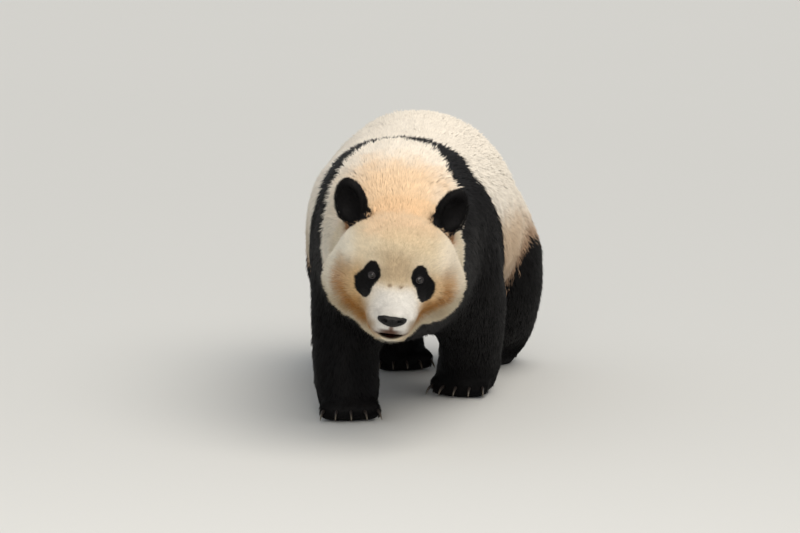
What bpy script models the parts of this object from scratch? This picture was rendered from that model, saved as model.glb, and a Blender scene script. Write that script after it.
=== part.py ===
"""Adult giant panda, life size, walking with its head held low, as a still model.

Units are metres and +Z is up. The animal faces -Y and its left side is +X. The
origin is the centre of its outline on the floor. The solids reach out to the
tips of the coat. The flesh is modelled whole and then parted by thin cuts.
"""

import math
from collections import namedtuple

import bmesh
import bpy
import numpy as np
from mathutils import Matrix, Vector

# ---------------------------------------------------------------- driving sizes
SHOULDER_HEIGHT = 0.70  # floor to the coat over the withers
TORSO_LENGTH = 1.22  # nape to rump
BELLY_WIDTH = 0.566
HEAD_WIDTH = 0.34  # across the cheek ruffs
PAW_WIDTH = 0.146
EYE_RADIUS = 0.0125

NAPE_Y = -0.57  # where the torso starts, inside the head
HEAD_PLACE = (0.022, -0.600, 0.427)
HEAD_TURN = 5.5  # degrees, to the animal's left
HEAD_NOD = 5.0  # degrees, nose down
HEAD_ROLL = 6.0  # degrees, left ear down

CUT_GAP = 0.0004  # between two pieces of flesh
SEAT_GAP = 0.0004  # round an eye, ear, claw or nose where it sits in the flesh

FORM_VOXEL = 0.009
FORM_SMOOTHING = 22
FLESH_FACES = 1900  # triangles left in the whole flesh before it is parted
HEAD_SHARE = 0.36  # how far the head is spared when faces are taken away
ZONE_SIDES = 14  # sides of the shape that a leg is parted with

BLACK = (0.018, 0.018, 0.019, 1.0)
CREAM = (0.86, 0.78, 0.66, 1.0)
HORN = (0.10, 0.085, 0.07, 1.0)
LEATHER = (0.02, 0.02, 0.02, 1.0)
EYE_BROWN = (0.03, 0.018, 0.012, 1.0)
TONGUE_RED = (0.30, 0.10, 0.09, 1.0)

# One cross-section of the torso: where it is along the length, its top, bottom
# and half width as shares of the driving sizes, how far up it is widest, how much
# it narrows above that, and how far the spine is bent to the animal's left there.
Section = namedtuple("Section", "along top bottom half_width widest narrows bend")
TORSO = (
    Section(0.00, 0.800, 0.420, 0.520, 0.50, 0.00, 0.018),
    Section(0.07, 0.866, 0.376, 0.600, 0.50, -0.06, 0.010),
    Section(0.15, 0.932, 0.322, 0.690, 0.50, -0.14, 0.000),
    Section(0.245, 0.978, 0.270, 0.760, 0.50, -0.18, -0.008),
    Section(0.355, 0.994, 0.248, 0.830, 0.49, -0.17, -0.011),
    Section(0.495, 0.990, 0.230, 0.925, 0.46, -0.08, -0.011),
    Section(0.650, 1.000, 0.222, 1.000, 0.43, 0.01, -0.011),
    Section(0.790, 1.010, 0.262, 0.985, 0.43, 0.04, -0.013),
    Section(0.900, 0.960, 0.360, 0.860, 0.44, 0.04, -0.016),
    Section(0.975, 0.835, 0.480, 0.600, 0.45, 0.02, -0.018),
)

# One joint of a leg: its centre, its half width across the body and its half
# depth along it.
Joint = namedtuple("Joint", "x y z across along")

# side: +1 is the animal's left. The paw's centre, the way its toes point in
# degrees towards the midline, and the paw's length.
Leg = namedtuple("Leg", "name side joints paw_at toe_in paw_length")
LEGS = (
    Leg(
        "foreleg_right",
        -1,
        (
            Joint(0.132, -0.150, 0.500, 0.092, 0.165),
            Joint(0.146, -0.145, 0.360, 0.096, 0.142),
            Joint(0.144, -0.182, 0.235, 0.093, 0.118),
            Joint(0.138, -0.232, 0.120, 0.088, 0.102),
            Joint(0.131, -0.252, 0.050, 0.080, 0.094),
        ),
        (0.128, -0.274),
        10.0,
        0.180,
    ),
    Leg(
        "foreleg_left",
        1,
        (
            Joint(0.132, -0.130, 0.500, 0.092, 0.165),
            Joint(0.150, -0.080, 0.360, 0.096, 0.146),
            Joint(0.158, -0.004, 0.240, 0.094, 0.122),
            Joint(0.151, 0.066, 0.122, 0.088, 0.104),
            Joint(0.143, 0.092, 0.052, 0.080, 0.096),
        ),
        (0.138, 0.080),
        12.0,
        0.180,
    ),
    Leg(
        "hind_leg_right",
        -1,
        (
            Joint(0.176, 0.425, 0.400, 0.124, 0.185),
            Joint(0.196, 0.375, 0.300, 0.120, 0.170),
            Joint(0.172, 0.375, 0.205, 0.108, 0.138),
            Joint(0.112, 0.448, 0.112, 0.088, 0.106),
            Joint(0.078, 0.476, 0.054, 0.076, 0.094),
        ),
        (0.064, 0.448),
        14.0,
        0.195,
    ),
    Leg(
        "hind_leg_left",
        1,
        (
            Joint(0.162, 0.435, 0.400, 0.124, 0.185),
            Joint(0.198, 0.415, 0.300, 0.124, 0.172),
            Joint(0.202, 0.445, 0.205, 0.116, 0.140),
            Joint(0.188, 0.520, 0.118, 0.104, 0.110),
            Joint(0.166, 0.548, 0.058, 0.090, 0.096),
        ),
        (0.150, 0.520),
        16.0,
        0.195,
    ),
)

# The black saddle in side view, from the withers to under the chest: its front
# edge, and its rear edge on the right side and on the left.
Edge = namedtuple("Edge", "z front rear_right rear_left")
SADDLE = (
    Edge(0.80, -0.152, -0.106, -0.106),
    Edge(0.70, -0.155, -0.108, -0.108),
    Edge(0.67, -0.210, -0.120, -0.120),
    Edge(0.64, -0.275, -0.136, -0.136),
    Edge(0.60, -0.332, -0.138, -0.134),
    Edge(0.54, -0.392, -0.112, -0.098),
    Edge(0.46, -0.422, -0.056, -0.026),
    Edge(0.36, -0.430, 0.000, 0.040),
    Edge(0.26, -0.445, 0.010, 0.070),
    Edge(0.08, -0.470, 0.010, 0.070),
)

# One ellipsoid of the head, in the head's own frame: x is mirrored where it
# isn't zero.
Form = namedtuple("Form", "x y z across along up")
HEAD_FORMS = (
    Form(0.000, 0.030, 0.006, 0.148, 0.150, 0.126),  # cranium
    Form(0.080, 0.008, -0.036, 0.094, 0.116, 0.102),  # cheek ruff
    Form(0.000, -0.030, -0.082, 0.116, 0.120, 0.084),  # jaw and throat
    Form(0.000, -0.040, 0.042, 0.118, 0.096, 0.078),  # forehead
    Form(0.058, -0.016, 0.018, 0.090, 0.108, 0.098),  # temple
    Form(0.000, -0.082, 0.000, 0.088, 0.070, 0.072),  # bridge
)

# One cross-section of the muzzle, in the head's frame.
Snout = namedtuple("Snout", "y z half_width half_height")
MUZZLE = (
    Snout(-0.080, -0.050, 0.088, 0.088),
    Snout(-0.130, -0.062, 0.076, 0.074),
    Snout(-0.172, -0.078, 0.066, 0.061),
    Snout(-0.204, -0.088, 0.057, 0.052),
)

EYE_AT = (0.0545, -0.1275, 0.008)
NOSE_AT = (0.0, -0.2170, -0.0745)
NOSE_SIZE = (0.070, 0.040, 0.035)
NOSE_SIDES = 16
EAR_AT = (0.120, 0.052, 0.131)
EAR_SIZE = (0.041, 0.022, 0.064)  # half width, half thickness, half height
EAR_SPLAY = 16.0  # degrees, tops outward
EAR_OPENS = 18.0  # degrees, the cup turned outward

MOUTH_Z = -0.1190  # the line between the lips, in the head's frame
MOUTH_BACK_Y = -0.128
MOUTH_OPEN = 0.009  # between the lips at the front
JAW_DROP = 5.0  # degrees that the mouth line slopes down to the front

TAIL_AT = (-0.018, 0.640, 0.505)
CLAW_LENGTH = {"fore": 0.040, "hind": 0.034}
CLAW_RADIUS = 0.0060
TOES = 5


# -------------------------------------------------------------------- scene
def start():
    """Empties the scene and makes one collection for parts and one for cutters."""
    for obj in list(bpy.data.objects):
        bpy.data.objects.remove(obj)
    made = []
    for name in ("giant_panda", "cutters"):
        made.append(bpy.data.collections.new(name))
        bpy.context.scene.collection.children.link(made[-1])
    return made


PARTS, CUTTERS = start()


def material(name, colour, roughness):
    made = bpy.data.materials.new(name)
    made.use_nodes = True
    shader = made.node_tree.nodes["Principled BSDF"]
    shader.inputs["Base Color"].default_value = colour
    shader.inputs["Roughness"].default_value = roughness
    shader.inputs["Metallic"].default_value = 0.0
    return made


BLACK_FUR = material("black_fur", BLACK, 0.75)
CREAM_FUR = material("cream_fur", CREAM, 0.80)
CLAW_HORN = material("claw_horn", HORN, 0.40)
NOSE_LEATHER = material("nose_leather", LEATHER, 0.42)
EYE_GLOSS = material("eye_gloss", EYE_BROWN, 0.08)
TONGUE = material("tongue", TONGUE_RED, 0.45)


# -------------------------------------------------------------------- shapes
def mesh_object(name, bm, finish=None, collection=PARTS):
    """An object from a bmesh, which is freed."""
    bmesh.ops.recalc_face_normals(bm, faces=bm.faces)
    mesh = bpy.data.meshes.new(name)
    bm.to_mesh(mesh)
    bm.free()
    mesh.shade_smooth()
    obj = bpy.data.objects.new(name, mesh)
    if finish:
        mesh.materials.append(finish)
    collection.objects.link(obj)
    return obj


def cutter(name, bm):
    """A helper that shapes other pieces and isn't a piece itself."""
    obj = mesh_object(name, bm, collection=CUTTERS)
    obj.hide_render = True
    obj.display_type = "WIRE"
    return obj


def add_ellipsoid(bm, centre, radii, frame=Matrix.Identity(4), around=24):
    size = Matrix.Diagonal((*radii, 1.0))
    place = frame @ Matrix.Translation(centre) @ size
    bmesh.ops.create_uvsphere(
        bm, u_segments=around, v_segments=around * 2 // 3, radius=1.0, matrix=place
    )


def add_box(bm, low, high, frame=Matrix.Identity(4)):
    low, high = Vector(low), Vector(high)
    size = Matrix.Diagonal((*(high - low), 1.0))
    place = frame @ Matrix.Translation((low + high) / 2) @ size
    bmesh.ops.create_cube(bm, size=1.0, matrix=place)


def add_loft(bm, rings):
    """A closed tube through rings of points that all have the same length."""
    loops = [[bm.verts.new(point) for point in ring] for ring in rings]
    count = len(loops[0])
    for near, far in zip(loops, loops[1:]):
        for i in range(count):
            j = (i + 1) % count
            bm.faces.new((near[i], near[j], far[j], far[i]))
    bm.faces.new(loops[0][::-1])
    bm.faces.new(loops[-1])


def smooth_row(rows, steps):
    """Rows of numbers with Catmull-Rom values filled in between them."""
    rows = np.array(rows, float)
    ends = np.vstack([2 * rows[0] - rows[1], rows, 2 * rows[-1] - rows[-2]])
    filled = []
    for i in range(len(rows) - 1):
        p0, p1, p2, p3 = ends[i : i + 4]
        for t in np.linspace(0, 1, steps, endpoint=False):
            curve = 2 * p1 + (p2 - p0) * t
            curve += (2 * p0 - 5 * p1 + 4 * p2 - p3) * t**2
            curve += (3 * p1 - p0 - 3 * p2 + p3) * t**3
            filled.append(curve / 2)
    return filled + [rows[-1]]


def oval(centre, side, up, half_side, above, below, count=28, narrows=0.0):
    """A ring round centre, in the plane of side and up. Its two halves differ."""
    ring = []
    for i in range(count):
        turn = 2 * math.pi * i / count
        lift = math.sin(turn)
        across = half_side * math.cos(turn) * (1 - narrows * max(0.0, lift))
        height = lift * (above if lift > 0 else below)
        ring.append(centre + side * across + up * height)
    return ring


def domed(rings, share=0.55, steps=4):
    """The rings with a rounded end added to both ends of the row."""
    closed = list(rings)
    for end, inner in ((0, 1), (-1, -2)):
        middle = sum(rings[end], Vector()) / len(rings[end])
        before = sum(rings[inner], Vector()) / len(rings[inner])
        reach = max((point - middle).length for point in rings[end]) * share
        out = (middle - before).normalized() * reach
        for k in range(1, steps + 1):
            turn = math.pi / 2 * k / (steps + 0.4)
            ring = [
                middle + (p - middle) * math.cos(turn) + out * math.sin(turn)
                for p in rings[end]
            ]
            closed = [ring, *closed] if end == 0 else [*closed, ring]
    return closed


def claw_shape(length, radius, around=5, steps=4):
    """A claw that starts at the origin, runs along -Y and curves down."""
    bm = bmesh.new()
    rings = []
    for k in range(steps + 1):
        t = k / steps
        bend = math.radians(62) * t
        arc = length / math.radians(62)
        middle = Vector((0, -arc * math.sin(bend), arc * (math.cos(bend) - 1)))
        thick = radius * (1 - t) ** 0.7 + 0.0007
        up = Vector((0, -math.sin(bend), math.cos(bend)))
        rings.append(
            oval(middle, Vector((1, 0, 0)), up, thick * 0.8, thick, thick, around)
        )
    add_loft(bm, rings)
    return bm


# ------------------------------------------------------------------ booleans
def replace_mesh(obj):
    """Applies the object's modifiers."""
    bpy.context.view_layer.update()
    graph = bpy.context.evaluated_depsgraph_get()
    made = bpy.data.meshes.new_from_object(obj.evaluated_get(graph))
    obj.modifiers.clear()
    obj.data = made


def boolean(obj, other, operation):
    modifier = obj.modifiers.new(operation.lower(), "BOOLEAN")
    modifier.operation = operation
    modifier.object = other
    modifier.solver = "MANIFOLD"
    replace_mesh(obj)


def copy_of(obj, name, collection):
    made = obj.copy()
    made.data = obj.data.copy()
    made.name = name
    collection.objects.link(made)
    return made


def grown(obj, gap):
    """A cutter that is obj with every face moved out by gap."""
    bm = bmesh.new()
    bm.from_mesh(obj.data)
    bmesh.ops.triangulate(bm, faces=bm.faces)
    bm.to_mesh(obj.data)
    made = copy_of(obj, obj.name + "_grown", CUTTERS)
    made.hide_render = True
    bm.normal_update()
    moves = [v.normal * v.calc_shell_factor() * gap for v in bm.verts]
    for vert, move in zip(bm.verts, moves):
        vert.co += move
    bm.to_mesh(made.data)
    bm.free()
    return made


def paint(obj, finish):
    """Gives every face the one finish."""
    obj.data.materials.clear()
    obj.data.materials.append(finish)
    for face in obj.data.polygons:
        face.material_index = 0


def take(source, zone, name, finish):
    """Cuts what lies in the zone off source, as a piece with a thin gap round it."""
    wider = grown(zone, CUT_GAP)
    piece = copy_of(source, name, PARTS)
    boolean(piece, zone, "INTERSECT")
    boolean(source, wider, "DIFFERENCE")
    paint(piece, finish)
    return piece


def seat(host, piece):
    """Makes a pocket in host in which piece sits with a thin gap."""
    boolean(host, grown(piece, SEAT_GAP), "DIFFERENCE")


# --------------------------------------------------------------------- frames
def turned(place, yaw=0.0, nod=0.0, roll=0.0):
    """A frame at place. Yaw turns the front to +X, nod drops it, roll drops +X."""
    return (
        Matrix.Translation(place)
        @ Matrix.Rotation(math.radians(yaw), 4, "Z")
        @ Matrix.Rotation(math.radians(nod), 4, "X")
        @ Matrix.Rotation(math.radians(roll), 4, "Y")
    )


HEAD = turned(HEAD_PLACE, HEAD_TURN, HEAD_NOD, HEAD_ROLL)


def paw_frame(leg):
    x, y = leg.paw_at
    return turned((leg.side * x, y, 0.0), -leg.side * leg.toe_in)


def toe_angles():
    """The way each toe points, in degrees from straight ahead, inner to outer."""
    return [(i - (TOES - 1) / 2) * 17.0 for i in range(TOES)]


def toe_point(leg, angle):
    """The middle of a toe, in the paw's frame."""
    reach = leg.paw_length * 0.36
    turn = math.radians(angle)
    across = PAW_WIDTH * 0.56 * math.sin(turn) / math.sin(math.radians(34.0))
    return Vector((across * 0.74, -reach * math.cos(turn), 0.030))


# ---------------------------------------------------------------------- flesh
def add_torso(bm):
    rows = [
        (
            NAPE_Y + s.along * TORSO_LENGTH,
            s.top * SHOULDER_HEIGHT,
            s.bottom * SHOULDER_HEIGHT,
            s.half_width * BELLY_WIDTH / 2,
            s.widest,
            s.narrows,
            s.bend,
        )
        for s in TORSO
    ]
    rings = []
    side, up = Vector((1, 0, 0)), Vector((0, 0, 1))
    for y, top, bottom, half, widest, narrows, bend in smooth_row(rows, 5):
        middle = bottom + (top - bottom) * widest
        above, below = top - middle, middle - bottom
        centre = Vector((bend, y, middle))
        rings.append(oval(centre, side, up, half, above, below, 36, narrows))
    add_loft(bm, domed(rings, 0.28))


def add_leg(bm, leg):
    rows = smooth_row(leg.joints, 4)
    rings = []
    for i, (x, y, z, across, along) in enumerate(rows):
        here = Vector((leg.side * x, y, z))
        x0, y0, z0 = rows[max(i - 1, 0)][:3]
        x1, y1, z1 = rows[min(i + 1, len(rows) - 1)][:3]
        down = Vector((leg.side * (x1 - x0), y1 - y0, z1 - z0)).normalized()
        side = Vector((0, 1, 0)).cross(down).normalized()
        ahead = down.cross(side)
        rings.append(oval(here, side, ahead, across, along, along))
    add_loft(bm, domed(rings, 0.6))


def add_paw(bm, leg):
    """The sole and five toes, which reach just under the floor and are cut there."""
    frame = paw_frame(leg)
    half = leg.paw_length / 2
    width = PAW_WIDTH / 2
    add_ellipsoid(bm, (0, 0.004, 0.036), (width, half * 0.92, 0.050), frame)
    for angle in toe_angles():
        point = toe_point(leg, angle)
        turn = Matrix.Rotation(math.radians(angle), 4, "Z")
        place = frame @ Matrix.Translation(point) @ turn
        add_ellipsoid(bm, (0, 0, 0), (0.021, 0.034, 0.033), place, 16)


def add_tail(bm):
    frame = turned(TAIL_AT, 0.0, -62.0)
    add_ellipsoid(bm, (0, 0.035, 0), (0.050, 0.088, 0.038), frame)


def add_head(bm):
    for form in HEAD_FORMS:
        for side in (1, -1) if form.x else (1,):
            centre = (side * form.x, form.y, form.z)
            add_ellipsoid(bm, centre, (form.across, form.along, form.up), HEAD)
    rings = []
    for y, z, half_width, half_height in smooth_row(MUZZLE, 4):
        ring = oval(
            Vector((0, y, z)),
            Vector((1, 0, 0)),
            Vector((0, 0, 1)),
            half_width,
            half_height,
            half_height,
        )
        rings.append(ring)
    rings = [[HEAD @ point for point in ring] for ring in domed(rings, 0.42)]
    add_loft(bm, rings)


def flesh():
    """The whole body as one soft form, with the head kept finer than the rest."""
    bm = bmesh.new()
    add_torso(bm)
    add_tail(bm)
    add_head(bm)
    for leg in LEGS:
        add_leg(bm, leg)
        add_paw(bm, leg)
    obj = mesh_object("trunk", bm)
    remesh = obj.modifiers.new("fuse", "REMESH")
    remesh.mode = "VOXEL"
    remesh.voxel_size = FORM_VOXEL
    smooth = obj.modifiers.new("fair", "SMOOTH")
    smooth.iterations = FORM_SMOOTHING
    replace_mesh(obj)

    spared = obj.vertex_groups.new(name="spared")
    reach = HEAD_WIDTH * 0.62
    centre = HEAD @ Vector((0, -0.06, -0.02))
    for vert in obj.data.vertices:
        near = max(0.0, 1.0 - (vert.co - centre).length / reach)
        low = max(0.0, 1.0 - vert.co.z / 0.11)
        weight = max(min(1.0, near * 2.0), 0.3 * min(1.0, low * 1.6))
        spared.add([vert.index], 1.0 - HEAD_SHARE * weight, "REPLACE")
    fewer = obj.modifiers.new("fewer_faces", "DECIMATE")
    obj.data.calc_loop_triangles()
    fewer.ratio = FLESH_FACES / len(obj.data.loop_triangles)
    fewer.vertex_group = spared.name
    fewer.use_collapse_triangulate = True
    replace_mesh(obj)

    bm = bmesh.new()
    add_box(bm, (-1.5, -1.5, -0.3), (1.5, 1.5, 0.0))
    boolean(obj, cutter("floor", bm), "DIFFERENCE")
    return obj


# --------------------------------------------------------------- hard features
def make_eye(side):
    x, y, z = EYE_AT
    name = "eye_left" if side > 0 else "eye_right"
    bm = bmesh.new()
    bmesh.ops.create_uvsphere(bm, u_segments=12, v_segments=8, radius=EYE_RADIUS)
    obj = mesh_object(name, bm, EYE_GLOSS)
    obj.matrix_world = HEAD @ Matrix.Translation((side * x, y, z))
    return obj


def make_ear(side):
    """A round cup, thick at its root, that opens forward and a little outward."""
    x, y, z = EAR_AT
    name = "ear_left" if side > 0 else "ear_right"
    half_width, half_thick, half_height = EAR_SIZE
    bm = bmesh.new()
    add_ellipsoid(bm, (0, 0, 0), (half_width, half_thick, half_height), around=13)
    obj = mesh_object(name, bm, BLACK_FUR)
    bm = bmesh.new()
    add_ellipsoid(
        bm,
        (0, -half_thick * 1.02, half_height * 0.10),
        (half_width * 0.74, half_thick * 0.95, half_height * 0.70),
        around=12,
    )
    boolean(obj, cutter(name + "_cup", bm), "DIFFERENCE")
    place = turned((side * x, y, z), side * EAR_OPENS, 6.0, side * EAR_SPLAY)
    obj.matrix_world = HEAD @ place
    return obj


def make_nose():
    """A rounded pad, wide at the top, with two comma-shaped nostrils."""
    width, depth, height = NOSE_SIZE
    rings = []
    for turn in np.radians((-60, -28, 4, 34, 56, 75)):
        swell = math.cos(turn)
        ring = []
        for around in np.linspace(0, 2 * math.pi, NOSE_SIDES, endpoint=False):
            widened = 1 + 0.20 * math.sin(around)
            x = width / 2 * math.cos(around) * widened * swell
            z = height / 2 * math.sin(around) * swell
            ring.append(Vector((x, -depth / 2 * math.sin(turn), z)))
        rings.append(ring)
    bm = bmesh.new()
    add_loft(bm, rings)
    obj = mesh_object("nose", bm, NOSE_LEATHER)
    for side in (1, -1):
        bm = bmesh.new()
        nostril = turned((side * width * 0.235, -depth * 0.47, 0.0), side * 22)
        tilt = Matrix.Rotation(math.radians(-side * 30), 4, "Y")
        add_ellipsoid(bm, (0, 0, 0), (0.0090, 0.0095, 0.0042), nostril @ tilt, 9)
        boolean(obj, cutter(f"nostril_{side}", bm), "DIFFERENCE")
    obj.matrix_world = HEAD @ turned(NOSE_AT, nod=-8.0)
    return obj


def make_claws(leg):
    kind = "fore" if leg.name.startswith("fore") else "hind"
    length = CLAW_LENGTH[kind]
    claws = []
    for number, angle in enumerate(toe_angles(), 1):
        name = f"claw_{leg.name}_{number}"
        obj = mesh_object(name, claw_shape(length, CLAW_RADIUS), CLAW_HORN)
        start = toe_point(leg, angle) + Vector((0, 0, -0.002))
        turn = Matrix.Rotation(math.radians(angle * 0.55), 4, "Z")
        ahead = Matrix.Translation((0, -0.018, 0))
        obj.matrix_world = (
            paw_frame(leg) @ Matrix.Translation(start) @ turn @ ahead
        )
        claws.append(obj)
    return claws


def make_tongue():
    """A flat tongue that lies on the jaw and shows between the lips."""
    bm = bmesh.new()
    add_ellipsoid(bm, (0, 0, 0), (0.022, 0.036, 0.0042), around=10)
    obj = mesh_object("tongue", bm, TONGUE)
    middle = turned((0, MOUTH_BACK_Y - 0.042, mouth_height(-0.170) - 0.0035))
    obj.matrix_world = HEAD @ middle @ Matrix.Rotation(math.radians(JAW_DROP), 4, "X")
    return obj


def mouth_height(y):
    """How high the mouth line is at y, in the head's frame."""
    return MOUTH_Z + (y + 0.200) * math.tan(math.radians(JAW_DROP))


# ---------------------------------------------------------------------- zones
def head_zone():
    bm = bmesh.new()
    add_box(bm, (-0.30, -0.40, -0.26), (0.30, 0.112, 0.30), HEAD)
    return cutter("head_zone", bm)


def neck_zone():
    """All in front of the saddle, which is already parted there."""
    bm = bmesh.new()
    add_box(bm, (-0.5, -1.2, 0.0), (0.5, -0.145, 1.0))
    return cutter("neck_zone", bm)


def tail_zone():
    bm = bmesh.new()
    frame = turned(TAIL_AT, 0.0, -62.0)
    add_box(bm, (-0.075, -0.065, -0.014), (0.075, 0.150, 0.20), frame)
    return cutter("tail_zone", bm)


def saddle_zone():
    """The shoulders, withers and chest: what lies between the saddle's edges."""
    halves = []
    rows = smooth_row(SADDLE, 2)
    for side, rear in ((-1, 2), (1, 3)):
        outline = [(row[1], row[0]) for row in rows]
        outline += [(row[rear], row[0]) for row in reversed(rows)]
        near, far = -0.001 * side, 0.50 * side
        bm = bmesh.new()
        add_loft(bm, [[(x, y, z) for y, z in outline] for x in (near, far)])
        halves.append(cutter(f"saddle_{side}", bm))
    boolean(halves[0], halves[1], "UNION")
    return halves[0]


def leg_zone(leg):
    """All that belongs to a leg: its joints, swollen, then its footprint."""
    side, deep = Vector((1, 0, 0)), Vector((0, 1, 0))
    rings = []
    for x, y, z, across, along in leg.joints[:-1]:
        # in the flank the zone hugs the limb, and below it stands clear of it
        in_flank = z > 0.27
        wide, out = (1.34, 0.26) if in_flank else (1.50, 0.16)
        reach = along * 1.28 if in_flank else 0.195
        middle = Vector((leg.side * (x + across * out), y, z))
        rings.append(oval(middle, side, deep, across * wide, reach, reach, ZONE_SIDES))
    ankle = leg.joints[-1]
    foot_x, foot_y = (leg.paw_at[0] + ankle.x) / 2, (leg.paw_at[1] + ankle.y) / 2
    foot_half = max(PAW_WIDTH * 0.79, ankle.across * 1.30)
    for z, x, half in (
        (0.085, ankle.x + 0.020, ankle.across * 1.50 + 0.030),
        (0.030, foot_x, foot_half),
        (-0.050, foot_x, foot_half),
    ):
        middle = Vector((leg.side * x, foot_y, z))
        rings.append(oval(middle, side, deep, half, 0.20, 0.20, ZONE_SIDES))
    dome = domed(rings, 0.5, 3)[:3]
    bm = bmesh.new()
    add_loft(bm, [*dome, *rings])
    return cutter(leg.name + "_zone", bm)


def paw_zone(leg):
    bm = bmesh.new()
    frame = paw_frame(leg) @ Matrix.Translation((0, 0, 0.078))
    slope = Matrix.Rotation(math.radians(14.0), 4, "X")
    add_box(bm, (-0.25, -0.30, -0.30), (0.25, 0.30, 0.0), frame @ slope)
    return cutter(leg.name + "_paw_zone", bm)


def jaw_zone():
    """The space below the mouth line and in front of its corners."""
    bm = bmesh.new()
    middle = turned((0, MOUTH_BACK_Y, mouth_height(MOUTH_BACK_Y)), nod=JAW_DROP)
    add_box(bm, (-0.15, -0.20, -0.20), (0.15, 0.0, 0.0), HEAD @ middle)
    return cutter("jaw_zone", bm)


def mouth_gap():
    """The open space between the lips, which closes towards the mouth's corners."""
    bm = bmesh.new()
    front = -0.165
    add_ellipsoid(
        bm,
        (0, front - 0.045, mouth_height(front - 0.045)),
        (0.040, 0.060, MOUTH_OPEN / 2),
        HEAD,
        16,
    )
    return cutter("mouth_gap", bm)


# ------------------------------------------------------------------- assembly
def centre_on_floor(parts):
    """Moves the parts so that their box's bottom centre is the origin."""
    bpy.context.view_layer.update()
    corners = np.array(
        [obj.matrix_world @ v.co for obj in parts for v in obj.data.vertices]
    )
    low, high = corners.min(0), corners.max(0)
    shift = Vector((*(-(low + high) / 2)[:2], -low[2]))
    for obj in parts:
        obj.matrix_world = Matrix.Translation(shift) @ obj.matrix_world
    bpy.context.view_layer.update()


def build():
    trunk = flesh()
    for leg in LEGS:
        limb = take(trunk, leg_zone(leg), leg.name, BLACK_FUR)
        paw = take(limb, paw_zone(leg), leg.name.replace("leg", "paw"), BLACK_FUR)
        for claw in make_claws(leg):
            seat(paw, claw)
    head = take(trunk, head_zone(), "head", CREAM_FUR)
    take(trunk, saddle_zone(), "shoulders", BLACK_FUR)
    take(trunk, neck_zone(), "neck", CREAM_FUR)
    take(trunk, tail_zone(), "tail", CREAM_FUR)
    paint(trunk, CREAM_FUR)

    jaw = take(head, jaw_zone(), "jaw", CREAM_FUR)
    gap = mouth_gap()
    boolean(head, gap, "DIFFERENCE")
    boolean(jaw, gap, "DIFFERENCE")
    tongue = make_tongue()
    seat(jaw, tongue)
    seat(head, tongue)
    nose = make_nose()
    seat(head, nose)
    for side in (1, -1):
        seat(head, make_eye(side))
        seat(head, make_ear(side))

    centre_on_floor(list(PARTS.objects))


build()
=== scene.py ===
# %% [markdown]
# # A giant panda, life size
# An adult giant panda walks towards us with its head held low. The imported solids
# give its true outline, out to the tips of the coat. This script gives it a skin,
# a coat of solid locks of hair, eyes, a nose, a mouth and claws.
# Everything is measured from the solids, so that nothing has to be fitted later.

# %% Load the frame
import math
from collections import namedtuple

import bmesh
import bpy
import numpy as np
from mathutils import Matrix, Vector, noise
from mathutils.bvhtree import BVHTree
from mathutils.kdtree import KDTree


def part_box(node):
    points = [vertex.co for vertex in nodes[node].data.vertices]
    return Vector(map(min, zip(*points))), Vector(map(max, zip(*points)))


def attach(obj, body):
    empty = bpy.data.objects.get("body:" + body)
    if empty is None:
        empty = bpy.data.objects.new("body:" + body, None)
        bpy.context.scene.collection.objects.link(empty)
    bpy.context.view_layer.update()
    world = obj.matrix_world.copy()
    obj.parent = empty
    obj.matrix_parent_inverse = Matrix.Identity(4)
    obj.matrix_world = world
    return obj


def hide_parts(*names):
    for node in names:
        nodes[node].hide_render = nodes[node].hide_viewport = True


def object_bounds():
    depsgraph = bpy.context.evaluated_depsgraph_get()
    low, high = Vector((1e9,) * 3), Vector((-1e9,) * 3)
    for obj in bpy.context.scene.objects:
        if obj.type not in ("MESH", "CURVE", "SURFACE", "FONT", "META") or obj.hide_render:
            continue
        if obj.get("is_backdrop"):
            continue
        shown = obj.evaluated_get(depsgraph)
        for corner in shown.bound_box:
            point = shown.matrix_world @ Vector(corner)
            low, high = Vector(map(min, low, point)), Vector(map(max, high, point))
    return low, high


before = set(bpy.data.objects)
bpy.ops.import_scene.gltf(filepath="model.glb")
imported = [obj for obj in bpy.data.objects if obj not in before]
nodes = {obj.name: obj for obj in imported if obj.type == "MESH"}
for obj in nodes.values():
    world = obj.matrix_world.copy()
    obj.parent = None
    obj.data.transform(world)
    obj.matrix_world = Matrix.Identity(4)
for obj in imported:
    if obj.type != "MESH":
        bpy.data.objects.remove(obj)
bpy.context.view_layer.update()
MM = 0.001

# %% [markdown]
# ## Small tools
# A colour is named by its sRGB hex value, as a painter's chart gives it, and one
# function turns it to the linear values that the shaders take. One function adds
# a node with its settings and links. The mesh tools read and write all the points
# of a mesh at once, because a loop over a hundred thousand points is slow.

# %% Colours and nodes
def linear(code):
    """The linear red, green, blue and alpha of an sRGB hex colour."""
    values = [int(code[i : i + 2], 16) / 255 for i in (1, 3, 5)]
    values = [v / 12.92 if v <= 0.04045 else ((v + 0.055) / 1.055) ** 2.4 for v in values]
    return (*values, 1.0)


def add_node(tree, kind, inputs=(), **settings):
    """Adds a node. inputs gives values or links, in the sockets' order or by their keys."""
    made = tree.nodes.new(kind)
    for name, value in settings.items():
        setattr(made, name, value)
    if not isinstance(inputs, dict):
        inputs = dict(enumerate(inputs))
    for key, value in inputs.items():
        if isinstance(value, bpy.types.NodeSocket):
            tree.links.new(value, made.inputs[key])
        else:
            made.inputs[key].default_value = value
    return made


print("a warm white, linear:", [round(value, 3) for value in linear("#fff6ea")])

# %% Points, edges and attributes of a mesh
def read_rows(items, field, width, kind=np.float32):
    """The same field of every item, as rows of numbers."""
    found = np.empty(len(items) * width, kind)
    items.foreach_get(field, found)
    return found.reshape(-1, width)


def points_of(mesh):
    return read_rows(mesh.vertices, "co", 3).astype(float)


def set_points(mesh, points):
    mesh.vertices.foreach_set("co", points.astype(np.float32).ravel())
    mesh.update()


def normals_of(mesh):
    return read_rows(mesh.vertex_normals, "vector", 3).astype(float)


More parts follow.
